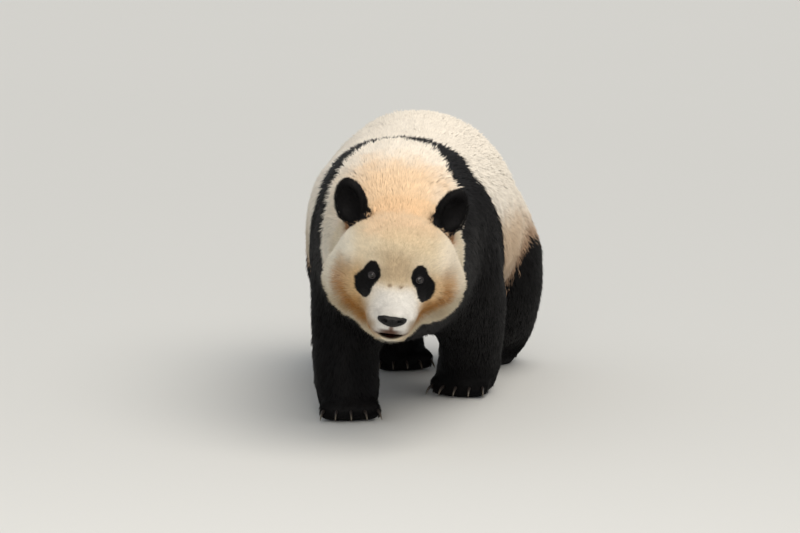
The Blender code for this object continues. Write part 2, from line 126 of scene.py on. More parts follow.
def edges_of(mesh):
    return read_rows(mesh.edges, "vertices", 2, np.int32)


# by how many numbers a value has: the attribute's type, and the field that holds it
KINDS = {1: ("FLOAT", "value"), 3: ("FLOAT_VECTOR", "vector"), 4: ("FLOAT_COLOR", "color")}


def write_attribute(mesh, name, values):
    """Stores one value for each point of the mesh."""
    kind, field = KINDS[values.size // len(values)]
    made = mesh.attributes.new(name, kind, "POINT")
    made.data.foreach_set(field, values.astype(np.float32).ravel())


print("corner points of the head's solid:", len(points_of(nodes["head"].data)))

# %% Smooth steps and spreading
def eased(values, start, end):
    """0 up to start, 1 from end on, and a smooth step between. It also runs downwards."""
    t = np.clip((values - start) / (end - start), 0, 1)
    return t * t * (3 - 2 * t)


def hump(values, breadth):
    """1 where the values are 0, and falling off smoothly to both sides."""
    return np.exp(-((values / breadth) ** 2))


def spread(values, edges, rounds, share=0.5):
    """Lets each point's value move towards the mean of its neighbours'."""
    count = len(values)
    ends = np.concatenate([edges[:, 0], edges[:, 1]])
    others = np.concatenate([edges[:, 1], edges[:, 0]])
    around = np.maximum(np.bincount(ends, minlength=count), 1)[:, None]
    flat = values.reshape(count, -1).astype(float)
    share = np.broadcast_to(np.asarray(share, float).reshape(-1, 1), (count, 1))
    for _ in range(rounds):
        total = [np.bincount(ends, column[others], count) for column in flat.T]
        flat = flat + share * (np.stack(total, 1) / around - flat)
    return flat.reshape(values.shape)


def unit(vectors):
    return vectors / np.maximum(np.linalg.norm(vectors, axis=1, keepdims=True), 1e-9)


print("a quarter of the way up a smooth step:", eased(np.array([0.25]), 0, 1)[0])

# %% From a bmesh or a modifier to a plain mesh
def plain_mesh(obj):
    """A mesh of the object as its modifiers or its bevel make it."""
    graph = bpy.context.evaluated_depsgraph_get()
    return bpy.data.meshes.new_from_object(obj.evaluated_get(graph))


def evaluated(obj):
    """The object's mesh with its modifiers applied. The modifiers are then gone."""
    made = plain_mesh(obj)
    obj.modifiers.clear()
    obj.data = made
    return made


def mesh_from(name, bm):
    """A new mesh of the bmesh, which is then freed."""
    mesh = bpy.data.meshes.new(name)
    bm.to_mesh(mesh)
    bm.free()
    return mesh


def shown(name, data):
    obj = bpy.data.objects.new(name, data)
    bpy.context.scene.collection.objects.link(obj)
    return obj


# %% [markdown]
# ## Landmarks
# The head is turned a little to the animal's left, nods and leans, so its own
# directions are found from the solids: the line between the eyes points to its
# left, and the nose lies ahead of the eyes and below them by a known slope.

# %% The head's own directions
EYE_TO_NOSE_SLOPE = math.radians(42.4)  # how steeply the nose lies below the eyes


def middle(node):
    low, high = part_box(node)
    return (low + high) / 2


SIDES = ("left", "right")
eye_points = {side: middle(f"eye_{side}") for side in SIDES}
nose_point = middle("nose")
between_eyes = (eye_points["left"] + eye_points["right"]) / 2
head_left = (eye_points["left"] - eye_points["right"]).normalized()
towards_nose = nose_point - between_eyes
towards_nose -= head_left * towards_nose.dot(head_left)
towards_nose.normalize()
beside = head_left.cross(towards_nose)
head_front = towards_nose * math.cos(EYE_TO_NOSE_SLOPE) - beside * math.sin(EYE_TO_NOSE_SLOPE)
head_up = head_front.cross(head_left)
# rows: left, back and up, the way x, y and z run in the whole model
HEAD_AXES = np.array([head_left, -head_front, head_up])
head_origin = np.array(between_eyes)
eye_gap = (eye_points["left"] - eye_points["right"]).length
print("eyes", round(eye_gap / MM), "mm apart; the head faces", [round(v, 2) for v in head_front])


def in_head(points):
    """Points in the head's frame: x to its left, y back, z up, from between the eyes."""
    return (points - head_origin) @ HEAD_AXES.T


def from_head(points):
    return np.asarray(points, float) @ HEAD_AXES + head_origin


nose_in_head = in_head(np.array([nose_point]))[0]
print("nose in the head, mm:", np.round(nose_in_head / MM))

# %% [markdown]
# ## The form under the coat
# The solids of the flesh were parted by thin cuts. Here copies of them are fused
# into one closed form, with the eyes, nose and tongue filling their pockets.
# A voxel remesh does that: it keeps only the outer surface of all that overlaps.
# Their flat facets are then smoothed away. Two kinds of steps take turns, one
# that shrinks the bumps and one that grows them back, so the body keeps its size.

# %% Copy the solids of the flesh
CLOSING = 0.6 * MM  # every solid grows by this, which closes the cuts
LIPS_CLOSE = 8 * MM  # a copy of the jaw is lifted by this, to fill the open mouth
SAME_POINT = 1e-6  # points closer than this are one, m
HARD_PARTS = ("claw_", "eye_", "nose", "tongue")
FLESH = sorted(name for name in nodes if not name.startswith(HARD_PARTS))
FILLERS = ["eye_left", "eye_right", "nose", "tongue"]


def merged(names, growth=0.0):
    """One bmesh of copies of the solids, with each solid's loose triangles joined."""
    bm = bmesh.new()
    for name in names:
        bm.from_mesh(nodes[name].data)
    bmesh.ops.remove_doubles(bm, verts=bm.verts, dist=SAME_POINT)
    bm.normal_update()
    for vert in bm.verts:
        vert.co += vert.normal * growth
    return bm


def close_mouth(bm):
    """Adds a second jaw a little higher, so that the lips meet."""
    known = len(bm.verts)
    bm.from_mesh(nodes["jaw"].data)
    bm.verts.ensure_lookup_table()
    for vert in bm.verts[known:]:
        vert.co += head_up * LIPS_CLOSE


print("solids of flesh:", len(FLESH), "and fillers:", len(FILLERS))

# %% Fuse them
FORM_VOXEL = 5.5 * MM


def remeshed(obj, voxel):
    modifier = obj.modifiers.new("fuse", "REMESH")
    modifier.mode = "VOXEL"
    modifier.voxel_size = voxel
    return evaluated(obj)


def keep_largest(mesh):
    """Deletes every island of the mesh but the one with the most points."""
    edges = edges_of(mesh)
    label = np.arange(len(mesh.vertices))
    while True:
        low = np.minimum(label[edges[:, 0]], label[edges[:, 1]])
        new = label.copy()
        np.minimum.at(new, edges[:, 0], low)
        np.minimum.at(new, edges[:, 1], low)
        new = new[new]
        if (new == label).all():
            break
        label = new
    kept = np.bincount(label).argmax()
    bm = bmesh.new()
    bm.from_mesh(mesh)
    bm.verts.ensure_lookup_table()
    extra = [bm.verts[i] for i in np.flatnonzero(label != kept)]
    bmesh.ops.delete(bm, geom=extra, context="VERTS")
    bm.to_mesh(mesh)
    bm.free()
    return len(extra)


flesh_bm = merged(FLESH + FILLERS, CLOSING)
close_mouth(flesh_bm)
form = shown("form", mesh_from("form", flesh_bm))
form_mesh = remeshed(form, FORM_VOXEL)
print("loose points taken away:", keep_largest(form_mesh), "left:", len(form_mesh.vertices))

# %% Which solid each point of the surface belongs to
def solid_finder(names):
    """A search tree over the solids' triangles, and the solid of each triangle."""
    corners, owners = [], []
    for index, name in enumerate(names):
        mesh = nodes[name].data
        place = points_of(mesh)
        mesh.calc_loop_triangles()
        corners.append(place[read_rows(mesh.loop_triangles, "vertices", 3, np.int32)])
        owners += [index] * len(corners[-1])
    flat = np.concatenate(corners).reshape(-1, 3)
    faces = np.arange(len(flat)).reshape(-1, 3)
    return BVHTree.FromPolygons(flat.tolist(), faces.tolist()), np.array(owners)


def nearest(tree, points):
    """For each point the nearest place on the tree, its triangle and its distance."""
    found = [tree.find_nearest(p) for p in points.tolist()]
    place = np.array([f[0] for f in found])
    return place, np.array([f[2] for f in found]), np.array([f[3] for f in found])


flesh_tree, flesh_owner = solid_finder(FLESH)
form_points = points_of(form_mesh)
form_owner = flesh_owner[nearest(flesh_tree, form_points)[1]]
print("points on the head:", int((form_owner == FLESH.index("head")).sum()))

# %% Smooth the facets away
SHRINK, GROW = 0.50, -0.52
FORM_ROUNDS, FINE_ROUNDS = 14, 4
FINE_CALM = 0.9  # how much less the ears and paws are smoothed in the first rounds
FINE = [i for i, name in enumerate(FLESH) if name.startswith("ear") or "paw" in name]


def faired(points, edges, weight, rounds):
    """Smooths without shrinking, by weight from 0 to 1 at each point."""
    for _ in range(rounds):
        for step in (SHRINK, GROW):
            points = spread(points, edges, 1, step * weight)
    return points


form_edges = edges_of(form_mesh)
fineness = spread(np.isin(form_owner, FINE).astype(float), form_edges, 4)
form_points = faired(form_points, form_edges, 1 - FINE_CALM * fineness, FORM_ROUNDS)
form_points = faired(form_points, form_edges, fineness, FINE_ROUNDS)
form_points[:, 2] = np.maximum(form_points[:, 2], 0.0)
set_points(form_mesh, form_points)
form_tree = BVHTree.FromObject(form, bpy.context.evaluated_depsgraph_get())
print("form:", np.round(np.ptp(form_points, axis=0) / MM), "mm")

# %% [markdown]
# ## The skin's mesh
# The skin is one closed mesh with no seam. It starts from a coarser remesh of the
# form, since the body is hidden by its coat. Behind the head the solids leave a
# crease, which long hair would fill, so the skin fills it. Where the form is fine,
# the faces are divided: once on the head and the paws, twice on the face and the
# ears, three times round the eyes and the mouth. The new points are laid back on
# the form.

# %% Make the coarse skin
SKIN_VOXEL = 10.8 * MM
SKIN_ROUNDS, BORDER_ROUNDS = 20, 6  # the second blends the body with its fine parts
HEAD_CENTRE = (0, 0.10, -0.03)  # of a ball round the head, in the head's frame, m
HEAD_REACH = 0.21


def evened(points, edges, rounds):
    """Flattens what is smaller than a limb, and gives the body its size back."""
    calm = spread(points, edges, rounds)
    return calm + spread(points - calm, edges, rounds)


def in_fine_part(places, names, reach):
    """1 on the head, the ears and the paws, and 0 elsewhere."""
    from_centre = np.linalg.norm(in_head(places) - HEAD_CENTRE, axis=1)
    return ((from_centre < reach) | np.isin(names, FINE)).astype(float)


skin = shown("skin", form_mesh.copy())
skin_mesh = remeshed(skin, SKIN_VOXEL)
keep_largest(skin_mesh)
points = points_of(skin_mesh)
owner = flesh_owner[nearest(flesh_tree, points)[1]]
coarse_edges = edges_of(skin_mesh)
fine_part = in_fine_part(points, owner, HEAD_REACH)
body_share = 1 - spread(fine_part, coarse_edges, BORDER_ROUNDS)[:, None]
points = points + (evened(points, coarse_edges, SKIN_ROUNDS) - points) * body_share
set_points(skin_mesh, points)
print("coarse skin:", len(points), "points")

# %% Fill the crease between the head and the neck
CREASE_ROUNDS = 160
BORDER_BREADTH = 26  # rounds over which the border between the two is widened
FACE_BACK = (0.030, 0.070)  # the face ends between these, behind the eyes, m


def border_of_head(places, names, edges, rounds):
    """1 along the border between the head and the neck, 0 away from it and on the face."""
    mine = spread((names == FLESH.index("head")).astype(float), edges, rounds)
    border = eased(4 * mine * (1 - mine), 0.02, 0.5)
    return border * ~np.isin(names, FINE) * eased(in_head(places)[:, 1], *FACE_BACK)


border = spread(border_of_head(points, owner, coarse_edges, BORDER_BREADTH), coarse_edges, 3)
outward = normals_of(skin_mesh)
calm = spread(points, coarse_edges, CREASE_ROUNDS)
filling = np.maximum(((calm - points) * outward).sum(axis=1), 0) * border
points = points + outward * spread(filling, coarse_edges, 4)[:, None]
set_points(skin_mesh, points)
print("the crease is filled by up to", round(filling.max() / MM, 1), "mm")

# %% Divide the faces where the form is fine
head_middle = from_head((0, 0.11, -0.03))
face_middle = from_head((0, 0.03, -0.045))
mouth_middle = from_head(nose_in_head + (0, 0.018, -0.046))
ears = [middle(f"ear_{side}") for side in SIDES]
paws = [middle(name) for name in FLESH if "paw" in name]
# the middles round which faces are divided, how far from them, and the head's furthest y
DIVISIONS = (
    ([head_middle, face_middle], 0.18, math.inf),
    (ears, 0.09, math.inf),
    (paws, 0.10, math.inf),
    ([face_middle], 0.15, 0.030),
    (ears, 0.07, math.inf),
    (list(eye_points.values()), 0.025, math.inf),
    ([mouth_middle], 0.040, math.inf),
)


def divide(bm, centres, reach, furthest):
    """Cuts each face near a centre in four. Its neighbours take up the new corners."""
    centres = [Vector(c) for c in centres]
    edges = set()
    for face in bm.faces:
        place = face.calc_center_median()
        if min((place - c).length for c in centres) <= reach:
            if in_head(np.array([place]))[0, 1] < furthest:
                edges.update(face.edges)
    bmesh.ops.subdivide_edges(bm, edges=list(edges), cuts=1, use_grid_fill=True)


bm = bmesh.new()
bm.from_mesh(skin_mesh)
for centres, reach, furthest in DIVISIONS:
    divide(bm, centres, reach, furthest)
bmesh.ops.triangulate(bm, faces=bm.faces)
bm.to_mesh(skin_mesh)
bm.free()
print("skin:", len(skin_mesh.vertices), "points,", len(skin_mesh.polygons), "triangles")

# %% Lay the fine parts back on the form
points = points_of(skin_mesh)
skin_edges = edges_of(skin_mesh)
on_form, _, away = nearest(form_tree, points)
owner = flesh_owner[nearest(flesh_tree, points)[1]]
laid = spread(in_fine_part(points, owner, HEAD_REACH - 0.01), skin_edges, 12)
border = border_of_head(points, owner, skin_edges, 2 * BORDER_BREADTH)
laid *= 1 - spread(border, skin_edges, 6)
points = points + (on_form - points) * laid[:, None]
points = evened(points, skin_edges, 3)
set_points(skin_mesh, points)
bpy.data.objects.remove(form)
print("largest move onto the form:", round(away.max() / MM, 1), "mm")

# %% [markdown]
# ## How deep the skin lies under the coat
# A giant panda's coat is thick and woolly on the body, shorter on the legs, and
# short and close on the face and the paws. The table gives, for each part of the
# body, the coat's depth from skin to tips, and the length, width and lift of its
# locks. The skin sinks into the form by the depth, and the values flow into each
# other along the skin, so that no edge shows where one part meets the next.

# %% The coat's measures
# depth, length and width in mm, lift in degrees, crowd in thousands a square metre
Coat = namedtuple("Coat", "depth length width lift crowd")
COATS = {
    "trunk": Coat(17.0, 33.0, 3.2, 25, 75),
    "tail": Coat(17.0, 34.0, 3.2, 25, 75),
    "shoulders": Coat(15.5, 28.0, 3.0, 25, 72),
    "neck": Coat(15.0, 26.0, 2.8, 26, 88),
    "head": Coat(11.0, 20.0, 2.2, 28, 135),
    "ruff": Coat(17.0, 26.0, 1.7, 40, 190),
    "face": Coat(4.2, 9.0, 1.45, 23, 300),
    "muzzle": Coat(2.2, 5.0, 1.1, 17, 400),
    "ear": Coat(5.0, 14.0, 1.7, 40, 330),
    "leg": Coat(12.0, 23.0, 2.9, 24, 64),
    "paw": Coat(5.5, 12.0, 2.0, 22, 140),
}


def kind_of(node):
    for kind in ("trunk", "tail", "shoulders", "neck", "ear", "paw", "leg"):
        if kind in node:
            return kind
    return "head"


print("kinds of coat:", ", ".join(COATS))

# %% Where each kind of hair grows
# where it starts and where it is whole, in m: x to the side, y back and z up
FACE_Y, MUZZLE_Y = (0.085, 0.020), (-0.020, -0.062)
CHEEK_X, CHEEK_Z = (0.098, 0.130), (0.035, -0.010)
UNDER_CHEEK_Z, UNDER_CHEEK_Y = (-0.085, -0.108), (-0.045, -0.015)
BEARD_Z, BEARD_SHARE = (-0.134, -0.144), 0.6
RUFF_BACK = 0.12
BY_EYE, BY_NOSE = (0.010, 0.056), (0.030, 0.048)  # hair shortens over this distance
SHORTEST = 0.45  # to this share of its length
SOLE_SLOPE, SOLE_HEIGHT = -0.55, 0.020
COAT_ROUNDS = 8


def distance_from(place):
    return np.linalg.norm(outer - np.array(place), axis=1)


outer = points_of(skin_mesh)  # where each point lies on the form
outward = normals_of(skin_mesh)
owner = flesh_owner[nearest(flesh_tree, outer)[1]]
coat = np.array([COATS[kind_of(name)] for name in FLESH])[owner]
at = in_head(outer)
aside, back, up = np.abs(at[:, 0]), at[:, 1], at[:, 2]
on_head = np.isin(owner, [FLESH.index("head"), FLESH.index("jaw")])
lower_cheek = eased(aside, *CHEEK_X) * eased(up, *CHEEK_Z)
under_cheek = eased(up, *UNDER_CHEEK_Z) * eased(back, *UNDER_CHEEK_Y)
beard = BEARD_SHARE * eased(up, *BEARD_Z)
shares = {
    "face": eased(back, *FACE_Y),
    "muzzle": eased(back, *MUZZLE_Y),
    "ruff": np.max([lower_cheek, under_cheek, beard], axis=0) * (back < RUFF_BACK),
}
for kind, share in shares.items():
    coat = coat + (np.array(COATS[kind]) - coat) * (share * on_head)[:, None]
coat = spread(coat, skin_edges, COAT_ROUNDS)
to_eye = np.min([distance_from(place) for place in eye_points.values()], axis=0)
bare = np.minimum(eased(to_eye, *BY_EYE), eased(distance_from(nose_point), *BY_NOSE))
coat[:, :3] *= (SHORTEST + (1 - SHORTEST) * bare)[:, None]
sole = (outward[:, 2] < SOLE_SLOPE) & (outer[:, 2] < SOLE_HEIGHT)
depth = coat[:, 0] * MM * ~sole
print("coat depth, mm:", round(coat[:, 0].min(), 1), "to", round(coat[:, 0].max(), 1))

# %% Sink the skin into the form
FLOOR_CLEARANCE = 0.4 * MM

smooth_outward = unit(spread(outward, skin_edges, 3))
points = outer - smooth_outward * spread(depth, skin_edges, 2)[:, None]
points[:, 2] = np.maximum(points[:, 2], FLOOR_CLEARANCE)
set_points(skin_mesh, points)
print("the skin sinks by", round(float(depth.mean()) / MM, 1), "mm on average")

# %% [markdown]
# ## The face's folds
# The solids give the head's masses. The skin adds what the short hair of a face
# lets one see: the brows, the hollows the eyes sit in, the furrow up the forehead,
# two short creases across the root of the muzzle, the pads that carry the
# whiskers, the groove from nose to lip, and the lips themselves. Each fold is a
# soft bump or dent in the head's own frame, the same on both sides. The cheeks
# are drawn in under their long hair, and a hollow is made for the nose.

# %% Bumps and dents
# middle, half width, half height and rise, all in mm
Fold = namedtuple("Fold", "x z half_width half_height rise")
FOLDS = (
    Fold(38, 2, 14, 15, -2.2),  # the hollow between the eye and the bridge
    Fold(46, 25, 22, 9, 2.6),  # brow
    Fold(0, 44, 7, 34, -1.6),  # furrow of the forehead
    Fold(16, -20, 7, 2.6, -1.5),  # crease at the root of the muzzle
    Fold(22, -103, 13, 12, 2.6),  # whisker pad
    Fold(0, -106, 1.8, 9, -2.6),  # groove from the nose to the lip
    Fold(0, -140, 22, 6, 1.8),  # lower lip
    Fold(62, -62, 20, 22, 2.0),  # cheek
)
FOLDS_SLOPE = (-0.05, -0.45)  # folds fade in where the skin turns to the front
FOLDS_BACK = 45  # mm behind the eyes, where they end


def raised(points, outward):
    at = in_head(points) / MM
    faces_front = eased(outward @ HEAD_AXES[1], *FOLDS_SLOPE) * (at[:, 1] < FOLDS_BACK)
    rise = np.zeros(len(points))
    for fold in FOLDS:
        across = hump(np.abs(at[:, 0]) - fold.x, fold.half_width)
        rise += fold.rise * across * hump(at[:, 2] - fold.z, fold.half_height)
    return points + outward * (rise * faces_front * MM)[:, None]


print("folds:", len(FOLDS))

# %% Make room for the nose, and draw the cheeks in
NOSE_BED = np.array([32, 11]) * MM  # half width and half height of the nose's hollow
NOSE_BED_DEPTH = 13 * MM
NOSE_BED_BACK = -0.03
# the head leans, so its left cheek hangs less low
CHEEK_LIFT = {"left": 26 * MM, "right": 8 * MM}
CHEEK_NARROWING = 15 * MM
# where a cheek starts to move and where it moves fully, in m across and up
LIFTED_X, LIFTED_Z = (0.030, 0.070), (-0.040, -0.125)
NARROWED_X, NARROWED_Z = (0.045, 0.115), (-0.020, -0.100)
NECK_Y = (0.16, 0.08)  # nothing moves behind the first


def by_side(values, x):
    """The left or the right value, by which side of the middle x lies on."""
    return np.where(x > 0, values["left"], values["right"])


points = raised(points, normals_of(skin_mesh))
at = in_head(points)
from_nose = np.hypot(*((at - nose_in_head)[:, ::2] / NOSE_BED).T)
at[:, 1] += NOSE_BED_DEPTH * eased(from_nose, 1.0, 0.7) * (at[:, 1] < NOSE_BED_BACK)
aside, before_neck = np.abs(at[:, 0]), eased(at[:, 1], *NECK_Y)
lifted = eased(aside, *LIFTED_X) * eased(at[:, 2], *LIFTED_Z) * before_neck
narrowed = eased(aside, *NARROWED_X) * eased(at[:, 2], *NARROWED_Z) * before_neck
at[:, 0] -= np.sign(at[:, 0]) * CHEEK_NARROWING * narrowed
at[:, 2] += by_side(CHEEK_LIFT, at[:, 0]) * lifted
points = from_head(at)
print("points of the cheeks that are lifted:", int((lifted > 0.5).sum()))

# %% Open the mouth
LIP_HALF_WIDTH = 28 * MM  # of the part that stands open
LIP_HALF_OPENING = 7.5 * MM
LIP_LINE = 1.3 * MM  # half height of the closed line beyond it
LIP_CREASE = 2.6 * MM  # depth of that line
LIP_CURVE = 6.0  # how fast the line rises to the corners, 1/m
LIP_SLOPE = 0.09  # how fast it rises behind the front of the mouth
MOUTH_FRONT = -0.072  # y of that front
MOUTH_DEPTH = 26 * MM
MOUTH_HALF_WIDTH = 0.058
BELOW_NOSE = 40 * MM


def lips(at):
    """How far each point lies inside the opening, inside the line, and from its level."""
    level = nose_in_head[2] - BELOW_NOSE + LIP_SLOPE * np.maximum(at[:, 1] - MOUTH_FRONT, 0)
    level = level + LIP_CURVE * at[:, 0] ** 2
    inner = np.sqrt(np.clip(1 - (at[:, 0] / LIP_HALF_WIDTH) ** 2, 0, 1))
    height = np.abs(at[:, 2] - level)
    on_muzzle = (at[:, 1] < 0.0) & (np.abs(at[:, 0]) < MOUTH_HALF_WIDTH)
    opening = np.where(on_muzzle, inner * LIP_HALF_OPENING - height, -1.0)
    line = np.where(on_muzzle, LIP_LINE - height, -1.0)
    return opening, line, np.where(on_muzzle, height, 1.0)


at = in_head(points)
opening, line, line_height = lips(at)
inside = eased(opening, -0.8 * MM, 1.6 * MM)
creased = eased(line, -1.6 * MM, 0.6 * MM)
front_half = eased(at[:, 1], -0.030, -0.050)
at[:, 1] += inside * front_half * MOUTH_DEPTH
at[:, 1] += creased * (1 - inside) * LIP_CREASE * (at[:, 1] < -0.01)
points = from_head(at)
set_points(skin_mesh, points)
in_mouth = inside * front_half
print("points in the mouth:", int((in_mouth > 0.5).sum()))

# %% [markdown]
# ## Eyelids
# The skin is drawn over each eyeball as a real lid is: within an almond-shaped
# opening it goes behind the ball, round it the skin lies on the ball at a lid's
# thickness, and further out it returns to the face.

# %% Where each eye lies, and how it looks
BALL = (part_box("eye_left")[1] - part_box("eye_left")[0]).z / 2
SET_BACK = 3.0 * MM  # the finished eyeball sits this much deeper than its solid
LID = 1.3 * MM
SLIT = (8.8 * MM, 7.7 * MM)  # half width and half height between the lids
OUTWARD_LOOK = math.radians(20)  # how far each eye looks to its own side
SLANT = math.radians(-16)  # the outer corner lies higher
CORNER = 1.85  # 2 would be an ellipse; less makes the corners sharper


def eye_axes(side):
    """Rows: along the slit, up across it, and the way the eye looks."""
    sign = 1 if side == "left" else -1
    out, up = Vector(HEAD_AXES[0]) * sign, Vector(HEAD_AXES[2])
    look = Vector(-HEAD_AXES[1]) * math.cos(OUTWARD_LOOK) + out * math.sin(OUTWARD_LOOK)
    along = (out - look * out.dot(look)).normalized()
    up = (up - look * up.dot(look) - along * up.dot(along)).normalized()
    slanted = along * math.cos(SLANT) - up * math.sin(SLANT)
    return np.array([slanted, up * math.cos(SLANT) + along * math.sin(SLANT), look])


def ball_centre(side):
    return np.array(eye_points[side]) - eye_axes(side)[2] * SET_BACK


print("eyeball:", round(2 * BALL / MM, 1), "mm across")

# %% Draw the lids over the eyes
# distances from the slit are shares of it: 0 in its middle and 1 on the lids' edge
LID_FOLD = (1.62, 0.16, 0.8 * MM)  # place and breadth of the upper lid's fold, and its depth
BEHIND_BALL = 2.4 * MM  # how far the skin goes behind the ball within the slit
EDGE_BAND = (0.87, 1.10)  # points between these are drawn onto the lids' edge
FACE_AGAIN = (2.45, 1.15)  # from the first of these outwards the skin is the face's
FAR_OFF = 9.0
EYE_REACH = 3.0  # how far round an eye the skin may move, in radii of the ball


def lid_profile(slit, across, high):
    """How far in front of the ball's middle the skin lies, at a distance from the slit."""
    fold_place, fold_breadth, fold_depth = LID_FOLD
    lid = np.sqrt(np.maximum((BALL + LID) ** 2 - across**2, 0))
    lid -= fold_depth * hump(slit - fold_place, fold_breadth) * (high > 0)
    behind = np.sqrt(np.maximum(BALL**2 - across**2, 0)) - BEHIND_BALL
    return np.where(slit < 0.99, behind, lid)


lid_edge = np.full(len(points), FAR_OFF)
for side in SIDES:
    axes, centre = eye_axes(side), ball_centre(side)
    q = (points - centre) @ axes.T
    close = (np.abs(q) < EYE_REACH * BALL).all(axis=1) & (q[:, 2] > -BALL)
    slit = ((np.abs(q[:, :2]) / SLIT) ** CORNER).sum(axis=1) ** (1 / CORNER)
    on_edge = close & (slit > EDGE_BAND[0]) & (slit < EDGE_BAND[1])
    q[on_edge, :2] /= slit[on_edge, None]
    slit = np.where(on_edge, 1.0, np.where(close, slit, FAR_OFF))
    lid_edge = np.minimum(lid_edge, slit)
    across = np.minimum(np.hypot(q[:, 0], q[:, 1]), BALL)
    shut = eased(slit, *FACE_AGAIN)
    q[:, 2] += (lid_profile(slit, across, q[:, 1]) - q[:, 2]) * shut
    points = np.where(close[:, None], q @ axes + centre, points)
    print(side, "eye: points on the lids' edge:", int(on_edge.sum()))
set_points(skin_mesh, points)
skin_mesh.shade_smooth()

# %% [markdown]
# ## Markings
# A giant panda is cream with black ears, eye patches, limbs and a band over the
# shoulders. Most of that follows the solids: the edge lies where a point is as far
# from the black solids as from the cream ones. The band's own edges are drawn by
# tables of places on each side. The hind legs are cream down to the middle of the
# thigh, and the eye patches are slanted drops, made of two ellipses.
# Every point stores how far inside the black it lies, so that each lock can later
# choose for itself on which side it is, and the edge comes out ragged.

# %% The black of the hind legs
THIGH_EDGE = 0.325  # y of the foremost point of a hind leg's black, m
THIGH_HEIGHT = {"left": 0.280, "right": 0.225}  # z of that point
THIGH_BEND = (4.2, 11.0)  # how fast the edge runs back below and above that point, 1/m
THIGH_TOP = 0.385  # no black above this height, m
THIGH_TOP_FALL = 0.16  # the height falls by this for each metre further back
SHANK_TOP = 0.205  # all of the leg is black below this height, m
THIGH_STRAY_END = 0.265  # stray cream locks grow rare in the black leg below this height, m


def hind_black(x, y, z):
    """Metres inside the black of the hind legs."""
    rise = z - by_side(THIGH_HEIGHT, x)
    behind = y - THIGH_EDGE - np.where(rise > 0, THIGH_BEND[1], THIGH_BEND[0]) * rise**2
    below = THIGH_TOP - THIGH_TOP_FALL * (y - THIGH_EDGE) - z
    return np.maximum(np.minimum(behind, below), SHANK_TOP - z)


print("points of the legs' black:", int((hind_black(*outer.T) > 0).sum()))

# %% The eye patches
Ellipse = namedtuple("Ellipse", "out up half_width half_height")
EYE_PATCH = (Ellipse(2, 9, 19, 25), Ellipse(22, -25, 21.5, 30))  # mm from the eye
PATCH_BLEND = 6.0  # mm over which the two ellipses flow together
PATCH_Y = (-0.06, 0.075)  # a patch lies between these in the head's frame, m


def eye_black(at):
    """Metres inside the nearer eye's patch, from places in the head's frame in metres."""
    out = np.abs(at[:, 0]) / MM - eye_gap / MM / 2
    up = at[:, 2] / MM
    inside = [
        (1 - np.hypot((out - e.out) / e.half_width, (up - e.up) / e.half_height)) * e.half_width
        for e in EYE_PATCH
    ]
    together = PATCH_BLEND * np.log(np.exp(np.array(inside) / PATCH_BLEND).sum(axis=0))
    on_face = (at[:, 1] > PATCH_Y[0]) & (at[:, 1] < PATCH_Y[1])
    return np.where(on_face, together * MM, -1.0)


patches = np.where(on_head, eye_black(in_head(outer)), -1.0)
print("points in the eye patches:", int((patches > 0).sum()))

# %% The band over the shoulders
# z and y of the band's rear edge on each side, and of its front edge on the left,
# in m from below to above
BAND_REAR = {
    "left": (
        (0.25, 0.19), (0.38, 0.085), (0.46, 0.035),
        (0.53, -0.050), (0.60, -0.115), (0.66, -0.045),
    ),
    "right": (
        (0.25, 0.06), (0.32, 0.045), (0.38, -0.01), (0.42, -0.10), (0.46, -0.185),
        (0.53, -0.240), (0.57, -0.215), (0.62, -0.130), (0.66, -0.043), (0.70, 0.05),
    ),
}
BAND_FRONT = ((0.0, -1.004), (0.63, -0.248), (1.0, 0.936))
BAND_BOTTOM = 0.25  # the rear edges start at this height, m
BAND_FOOT = (0.58, 0.52)  # below its thin part the band's edge is smooth, m
BAND_CALM = 24  # rounds that smooth it
BAND_REACH = {"left": 0.03, "right": 0.0}  # each rear edge starts this far to its side
FORE_END = {"left": 0.26, "right": 0.12}  # the black of each foreleg ends before this y
BAND_SLANT, FRONT_SLANT = 0.7, 0.64  # turn a distance along y into one square to the edge
FRONT_PULL = (3.0, 0.10)  # the front edge fades by the first for each metre under the second
THINNER = 4 * MM  # what each edge loses right of the withers, between these places
WITHERS_Z, WITHERS_X, WITHERS_BACK = (0.60, 0.65), (0.04, -0.02), 0.1


def edge_at(table, z):
    return np.interp(z, *np.array(table).T)


def banded(black_side, x, y, z):
    """Draws the band's edges into the distances."""
    pull, reach = FRONT_PULL
    front_side = FRONT_SLANT * (y - edge_at(BAND_FRONT, z)) - pull * np.maximum(reach - x, 0)
    here = ~on_head & ~np.isin(owner, FINE) & (x > 0) & (y < 0)
    black_side = np.where(here, np.maximum(black_side, front_side), black_side)
    for side, sign in zip(SIDES, (1, -1)):
        here = (sign * x > BAND_REACH[side]) & (y < FORE_END[side]) & (z > BAND_BOTTOM)
        before_edge = BAND_SLANT * (edge_at(BAND_REAR[side], z) - y)
        black_side = np.where(here, np.minimum(black_side, before_edge), black_side)
    at_withers = eased(z, *WITHERS_Z) * eased(x, *WITHERS_X) * (y < WITHERS_BACK)
    return black_side - THINNER * at_withers


print("the band's edges run through", [len(table) for table in BAND_REAR.values()], "places")

# %% How far inside the black each point lies
BLACK_SOLIDS = ("ear", "shoulders", "fore", "hind")
FURTHEST = 0.06  # places further from an edge than this are all alike, m


def distance_to(names):
    tree, _ = solid_finder(names)
    return nearest(tree, outer)[2]


